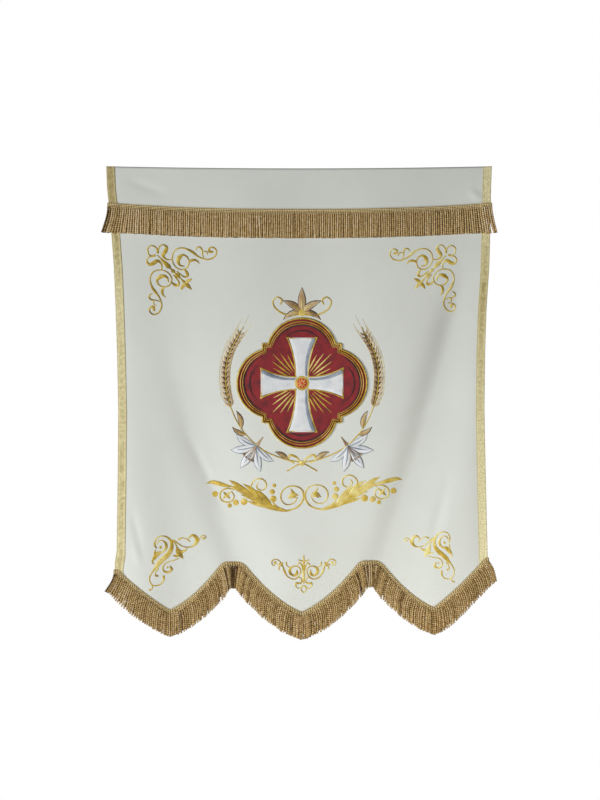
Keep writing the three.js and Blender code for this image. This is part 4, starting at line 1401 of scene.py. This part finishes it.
def makeWheat(tan, gold, brown):
    stems, ears, depths = Stitches(), Stitches(), Stitches()
    grain = medallion["grain"]
    for side in (-1, 1):
        path = smoothPath([(side * x, z, 1) for x, z in medallion["wheatStem"]])[:, :2]
        run = np.concatenate([[0], np.cumsum(np.linalg.norm(np.diff(path, axis=0), axis=1))])

        def placeAt(far):
            place = np.array([np.interp(far, run, path[:, 0]), np.interp(far, run, path[:, 1])])
            before = np.array([np.interp(far - 4, run, path[:, 0]), np.interp(far - 4, run, path[:, 1])])
            return place, math.atan2(*(place - before)[::-1])

        stem = [(*path[i], 3.6 - 1.4 * i / len(path)) for i in range(0, len(path), 6)]
        stems.stroke(atCentre(stem), 0.45)
        earStart = run[-1] * (1 - medallion["earShare"])
        spine = [(*placeAt(earStart + (run[-1] - earStart) * t)[0], w) for t, w in medallion["earBed"]]
        depths.stroke(atCentre(spine), 0.4, flat=0.4)
        count = int((run[-1] - earStart) / grain["spacing"])
        for k in range(count + 1):
            place, turn = placeAt(run[-1] - k * grain["spacing"])
            size = 0.72 + 0.28 * min(1, k / 3)
            for lean in ((0,) if k == 0 else (-1, 1)):
                out = turn + lean * math.radians(grain["spread"])
                step = along(turn + lean * math.pi / 2, 2.2 * abs(lean))
                start = (place[0] + step[0], place[1] + step[1])
                tone = 0.58 - 0.1 * lean * side + dice.uniform(-0.06, 0.06)
                row = leafRow(start, out, grain["length"] * size, grain["width"] * size, -0.12 * lean)
                ears.stroke(atCentre(row), tone, lift=0.3)
                tip = along(out - 0.1 * lean, grain["length"] * 0.9)
                awn = leafRow((start[0] + tip[0], start[1] + tip[1]), out - 0.3 * lean, grain["awn"], 1.1,
                              -lean * 0.25, (0.9, 0.9, 0.8, 0.7, 0.6))
                stems.stroke(atCentre(awn), 0.5)
        for share, aside, length, width in medallion["leaves"]:
            place, turn = placeAt(run[-1] * share)
            turn += side * aside * 0.75
            bend = -side * aside * 0.4
            depths.stroke(atCentre(leafRow(place, turn, length + 2, width + 3, bend)), 0.4, flat=0.5)
            ears.stroke(atCentre(leafRow(place, turn, length, width, bend)), 0.5, lift=0.3)
            stems.stroke(atCentre(leafRow(place, turn, length * 0.8, 2, bend * 0.8)), 0.55, lift=1.4)
        stems.stroke(atCentre(mirrorRow(medallion["stemTail"], side)), 0.6)
    (x, z), = atCentre([(0, -186)])
    stems.dot(x, z, 6.5, 0.6, lift=0.8)
    return [stems.piece("wheatStems", gold, "gold_thread"), ears.piece("wheatEars", tan, "tan_thread"),
            depths.piece("wheatOutlines", brown, "tan_thread")]


def makeLilies(pale, shadeThread, tan):
    petals, veins, stamens = Stitches(), Stitches(), Stitches()
    lily = medallion["lily"]
    shares = (0.22, 0.7, 1, 0.86, 0.1)
    for side in (-1, 1):
        start = (side * lily["at"][0], lily["at"][1])
        middle = -math.pi / 2 + side * math.radians(lily["turn"])
        for spread, size, up in lily["petals"]:
            turn = middle + math.radians(spread)
            length = lily["petal"] * size
            bend = math.radians(spread) * 0.35
            rim = leafRow(start, turn, length + 1.5, 21.5 * size, bend, shares)
            veins.stroke(atCentre(rim), 0.4, lift=0.5 * up - 0.1)
            petal = leafRow(start, turn, length, 18.5 * size, bend, shares)
            petals.stroke(atCentre(petal), 0.55 + 0.1 * up, lift=0.5 * up + 0.3)
            vein = leafRow(start, turn, length * 0.78, 3.2, bend * 0.78, (0.5, 0.9, 1, 0.7, 0.3))
            veins.stroke(atCentre(vein), 0.45, lift=0.5 * up + 1.3)
        for spread in (-20, -7, 7, 20):
            turn = middle + math.radians(spread)
            rows = leafRow(start, turn, lily["petal"] * 0.55, 1.4, 0, (0.8, 1, 1, 0.9, 0.8))
            stamens.stroke(atCentre(rows), 0.4, lift=2.3)
            x, z = along(turn, lily["petal"] * 0.58)
            (x, z), = atCentre([(start[0] + x, start[1] + z)])
            stamens.dot(x, z, 2.6, 0.35, lift=2.3)
        throat = leafRow(start, middle + math.pi, 24, 9, 0, (1.3, 1, 0.7, 0.45, 0.35))
        stamens.stroke(atCentre(throat), 0.42)
    return [petals.piece("lilyPetals", pale, "pale_thread"),
            veins.piece("lilyVeins", shadeThread, "pale_thread"),
            stamens.piece("lilyStamens", tan, "tan_thread")]


def makeCrownLeaf(tan, gold, brown):
    leaves, knots, outlines = Stitches(), Stitches(), Stitches()
    start = medallion["crown"]["at"]
    for spread, length, width in medallion["crown"]["leaves"]:
        turn = math.pi / 2 + math.radians(spread)
        bend = math.radians(spread) * 0.45
        rim = leafRow(start, turn, length + 2, width + 3.4, bend)
        outlines.stroke(atCentre(rim), 0.4, flat=0.5)
        leaves.stroke(atCentre(leafRow(start, turn, length, width, bend)), 0.55, lift=0.3)
        knots.stroke(atCentre(leafRow(start, turn, length * 0.7, 2.6, bend * 0.7)), 0.6, lift=1.5)
    for side in (-1, 1):
        knots.stroke(atCentre(mirrorRow(medallion["crown"]["curl"], side)), 0.5)
    (x, z), = atCentre([start])
    knots.dot(x, z, 8, 0.6, lift=1.4)
    return [leaves.piece("crownLeaves", tan, "tan_thread"), knots.piece("crownGold", gold, "gold_thread"),
            outlines.piece("crownOutlines", brown, "tan_thread")]


crimsonThread = threadMaterial("rayon filling stitch, crimson", "#4a070d", "#8c0b16", "#ad1822",
                               roughness=0.6, sheen=0.0)
deepCrimson = threadMaterial("rayon satin stitch, deep crimson", "#2b0a0d", "#440d13", "#5e141b",
                             roughness=0.55, sheen=0.0)
redThread = threadMaterial("rayon satin stitch, red", "#96101a", "#c8201c", "#ec6a1e",
                           roughness=0.45, sheen=0.0)
paleThread = threadMaterial("rayon satin stitch, white", "#c3c6cc", "#e6e8eb", "#fbfbfb", roughness=0.5)
greyThread = threadMaterial("rayon satin stitch, pale grey blue", "#6f7887", "#97a0ae", "#bcc4ce",
                            roughness=0.5)
tanThread = threadMaterial("rayon satin stitch, tan", "#7a5c3e", "#bb9a70", "#e8d0a6", roughness=0.48)
brownThread = threadMaterial("rayon satin stitch, dark brown", "#17110c", "#33261b", "#57432f",
                             roughness=0.5)
embroidery += makeField(crimsonThread, deepCrimson)
embroidery.append(makeBorderCords(goldThread))
embroidery += makeCross(paleThread, greyThread, goldThread, redThread)
embroidery += makeWheat(tanThread, goldThread, brownThread)
embroidery += makeLilies(paleThread, greyThread, tanThread)
embroidery += makeCrownLeaf(tanThread, goldThread, brownThread)
print("embroidery:", sum(len(piece.data.polygons) for piece in embroidery), "faces")


# Sewing thread along both edges of the tapes

def makeTapeStitches():
    seam = tapeSizes["stitch"]
    thread = threadMaterial("polyester sewing thread, pale gold", "#9a8a52", "#c8b97e", "#e6dbb0")
    top = tapeSizes["lift"] + tapeSizes["thickness"] + 0.25
    lines = []
    for share, inward in ((0, 1), (1, -1)):
        for inset in (seam["inset"], tapeSizes["width"] - seam["inset"]):
            x, z = clothPoint(share, np.linspace(0.002, 0.995, 220), inward * inset)
            lines.append({"path": np.stack([x, foldAt(x, z) - frontOff - top, z], -1)})
    sizes = {"Pitch": seam["pitch"] * mm, "Length": seam["length"] * mm, "Thickness": seam["thickness"] * mm}
    stitches = growAlong("tapeStitches", stitchRow, lines, sizes, thread)
    return stitches


tapeStitches = makeTapeStitches()


# Stage, light and camera

studio = {
    "floorHeight": -1.9,
    "floorColour": "#e9e9e7",
    "floorShade": "#e2e2df",
    "ambient": 0.05,
    "lights": {
        "keyLight": {"at": (-9.0, -4.9, -0.6), "aim": (0, 0, -0.5), "size": 2.8, "power": 842,
                     "colour": (0.96, 0.985, 1.0)},
        "lowLeftLight": {"at": (-0.85, -1.6, -0.8), "aim": (-0.2, 0, -0.6), "size": 1.2, "power": 4.3,
                         "colour": (1.0, 1.0, 1.0)},
        "lowRightLight": {"at": (0.55, -1.3, -1.45), "aim": (0.15, 0, -0.9), "size": 1.0, "power": 9.0,
                          "colour": (1.0, 0.985, 0.93)},
        "backLight": {"at": (2.2, 4.2, 0.8), "aim": (0, 0, -0.5), "size": 3.0, "power": 100,
                      "colour": (1.0, 1.0, 1.0)},
    },
    "camera": {"distance": 4.5, "x": 0.0012, "z": -0.5393, "frameHeight": 1.863},
}


# Painted plaster: an even matt pale floor, out of the picture below the banner
def makeFloor():
    material, tree = newMaterial("painted plaster, pale grey")
    place = addNode(tree, "ShaderNodeTexCoord", out="Object")
    grain = addNode(tree, "ShaderNodeTexNoise", {"Vector": place, "Scale": 3, "Detail": 4}, "Fac")
    colour = addNode(tree, "ShaderNodeMix", {
        0: grain, 6: srgb(studio["floorColour"]), 7: srgb(studio["floorShade"])}, 2, data_type="RGBA")
    finishMaterial(tree, {"Base Color": colour, "Roughness": 0.9})
    z = studio["floorHeight"] / mm
    corners = [(-4000, -5000, z), (4000, -5000, z), (4000, 1200, z), (-4000, 1200, z)]
    floor = meshObject("studioFloor", corners, [(0, 1, 2, 3)], material, smooth=False)


def addLight(name, light):
    lamp = bpy.data.lights.new(name, "AREA")
    lamp.shape = "DISK"
    lamp.size = light["size"]
    lamp.energy = light["power"]
    lamp.color = light["colour"]
    holder = bpy.data.objects.new(name, lamp)
    holder.location = light["at"]
    holder.visible_camera = False
    way = [b - a for a, b in zip(light["at"], light["aim"])]
    holder.rotation_mode = "XYZ"
    holder.rotation_euler = (math.atan2(math.hypot(way[0], way[1]), -way[2]), 0, math.atan2(-way[0], way[1]))
    bpy.context.scene.collection.objects.link(holder)


# White seen behind the banner, with a weaker even light from all sides
def makeWorld():
    world = bpy.data.worlds.new("studio")
    world.use_nodes = True
    tree = world.node_tree
    tree.nodes.clear()
    seen = addNode(tree, "ShaderNodeLightPath", out="Is Camera Ray")
    even, white = (addNode(tree, "ShaderNodeBackground", {"Color": (1, 1, 1, 1), "Strength": strength}, 0)
                   for strength in (studio["ambient"], 1.0))
    both = addNode(tree, "ShaderNodeMixShader", (seen, even, white), 0)
    addNode(tree, "ShaderNodeOutputWorld", {"Surface": both})
    bpy.context.scene.world = world


def makeCamera():
    view = studio["camera"]
    camera = bpy.data.cameras.new("camera")
    camera.sensor_width = 36
    camera.lens = 36 * view["distance"] / view["frameHeight"]
    holder = bpy.data.objects.new("camera", camera)
    holder.location = (view["x"], -view["distance"], view["z"])
    holder.rotation_euler = (math.pi / 2, 0, 0)
    bpy.context.scene.collection.objects.link(holder)
    bpy.context.scene.camera = holder


makeFloor()
for name, light in studio["lights"].items():
    addLight(name, light)
makeWorld()
makeCamera()
bpy.context.scene.view_settings.view_transform = "Standard"
print("stage, light and camera are set")
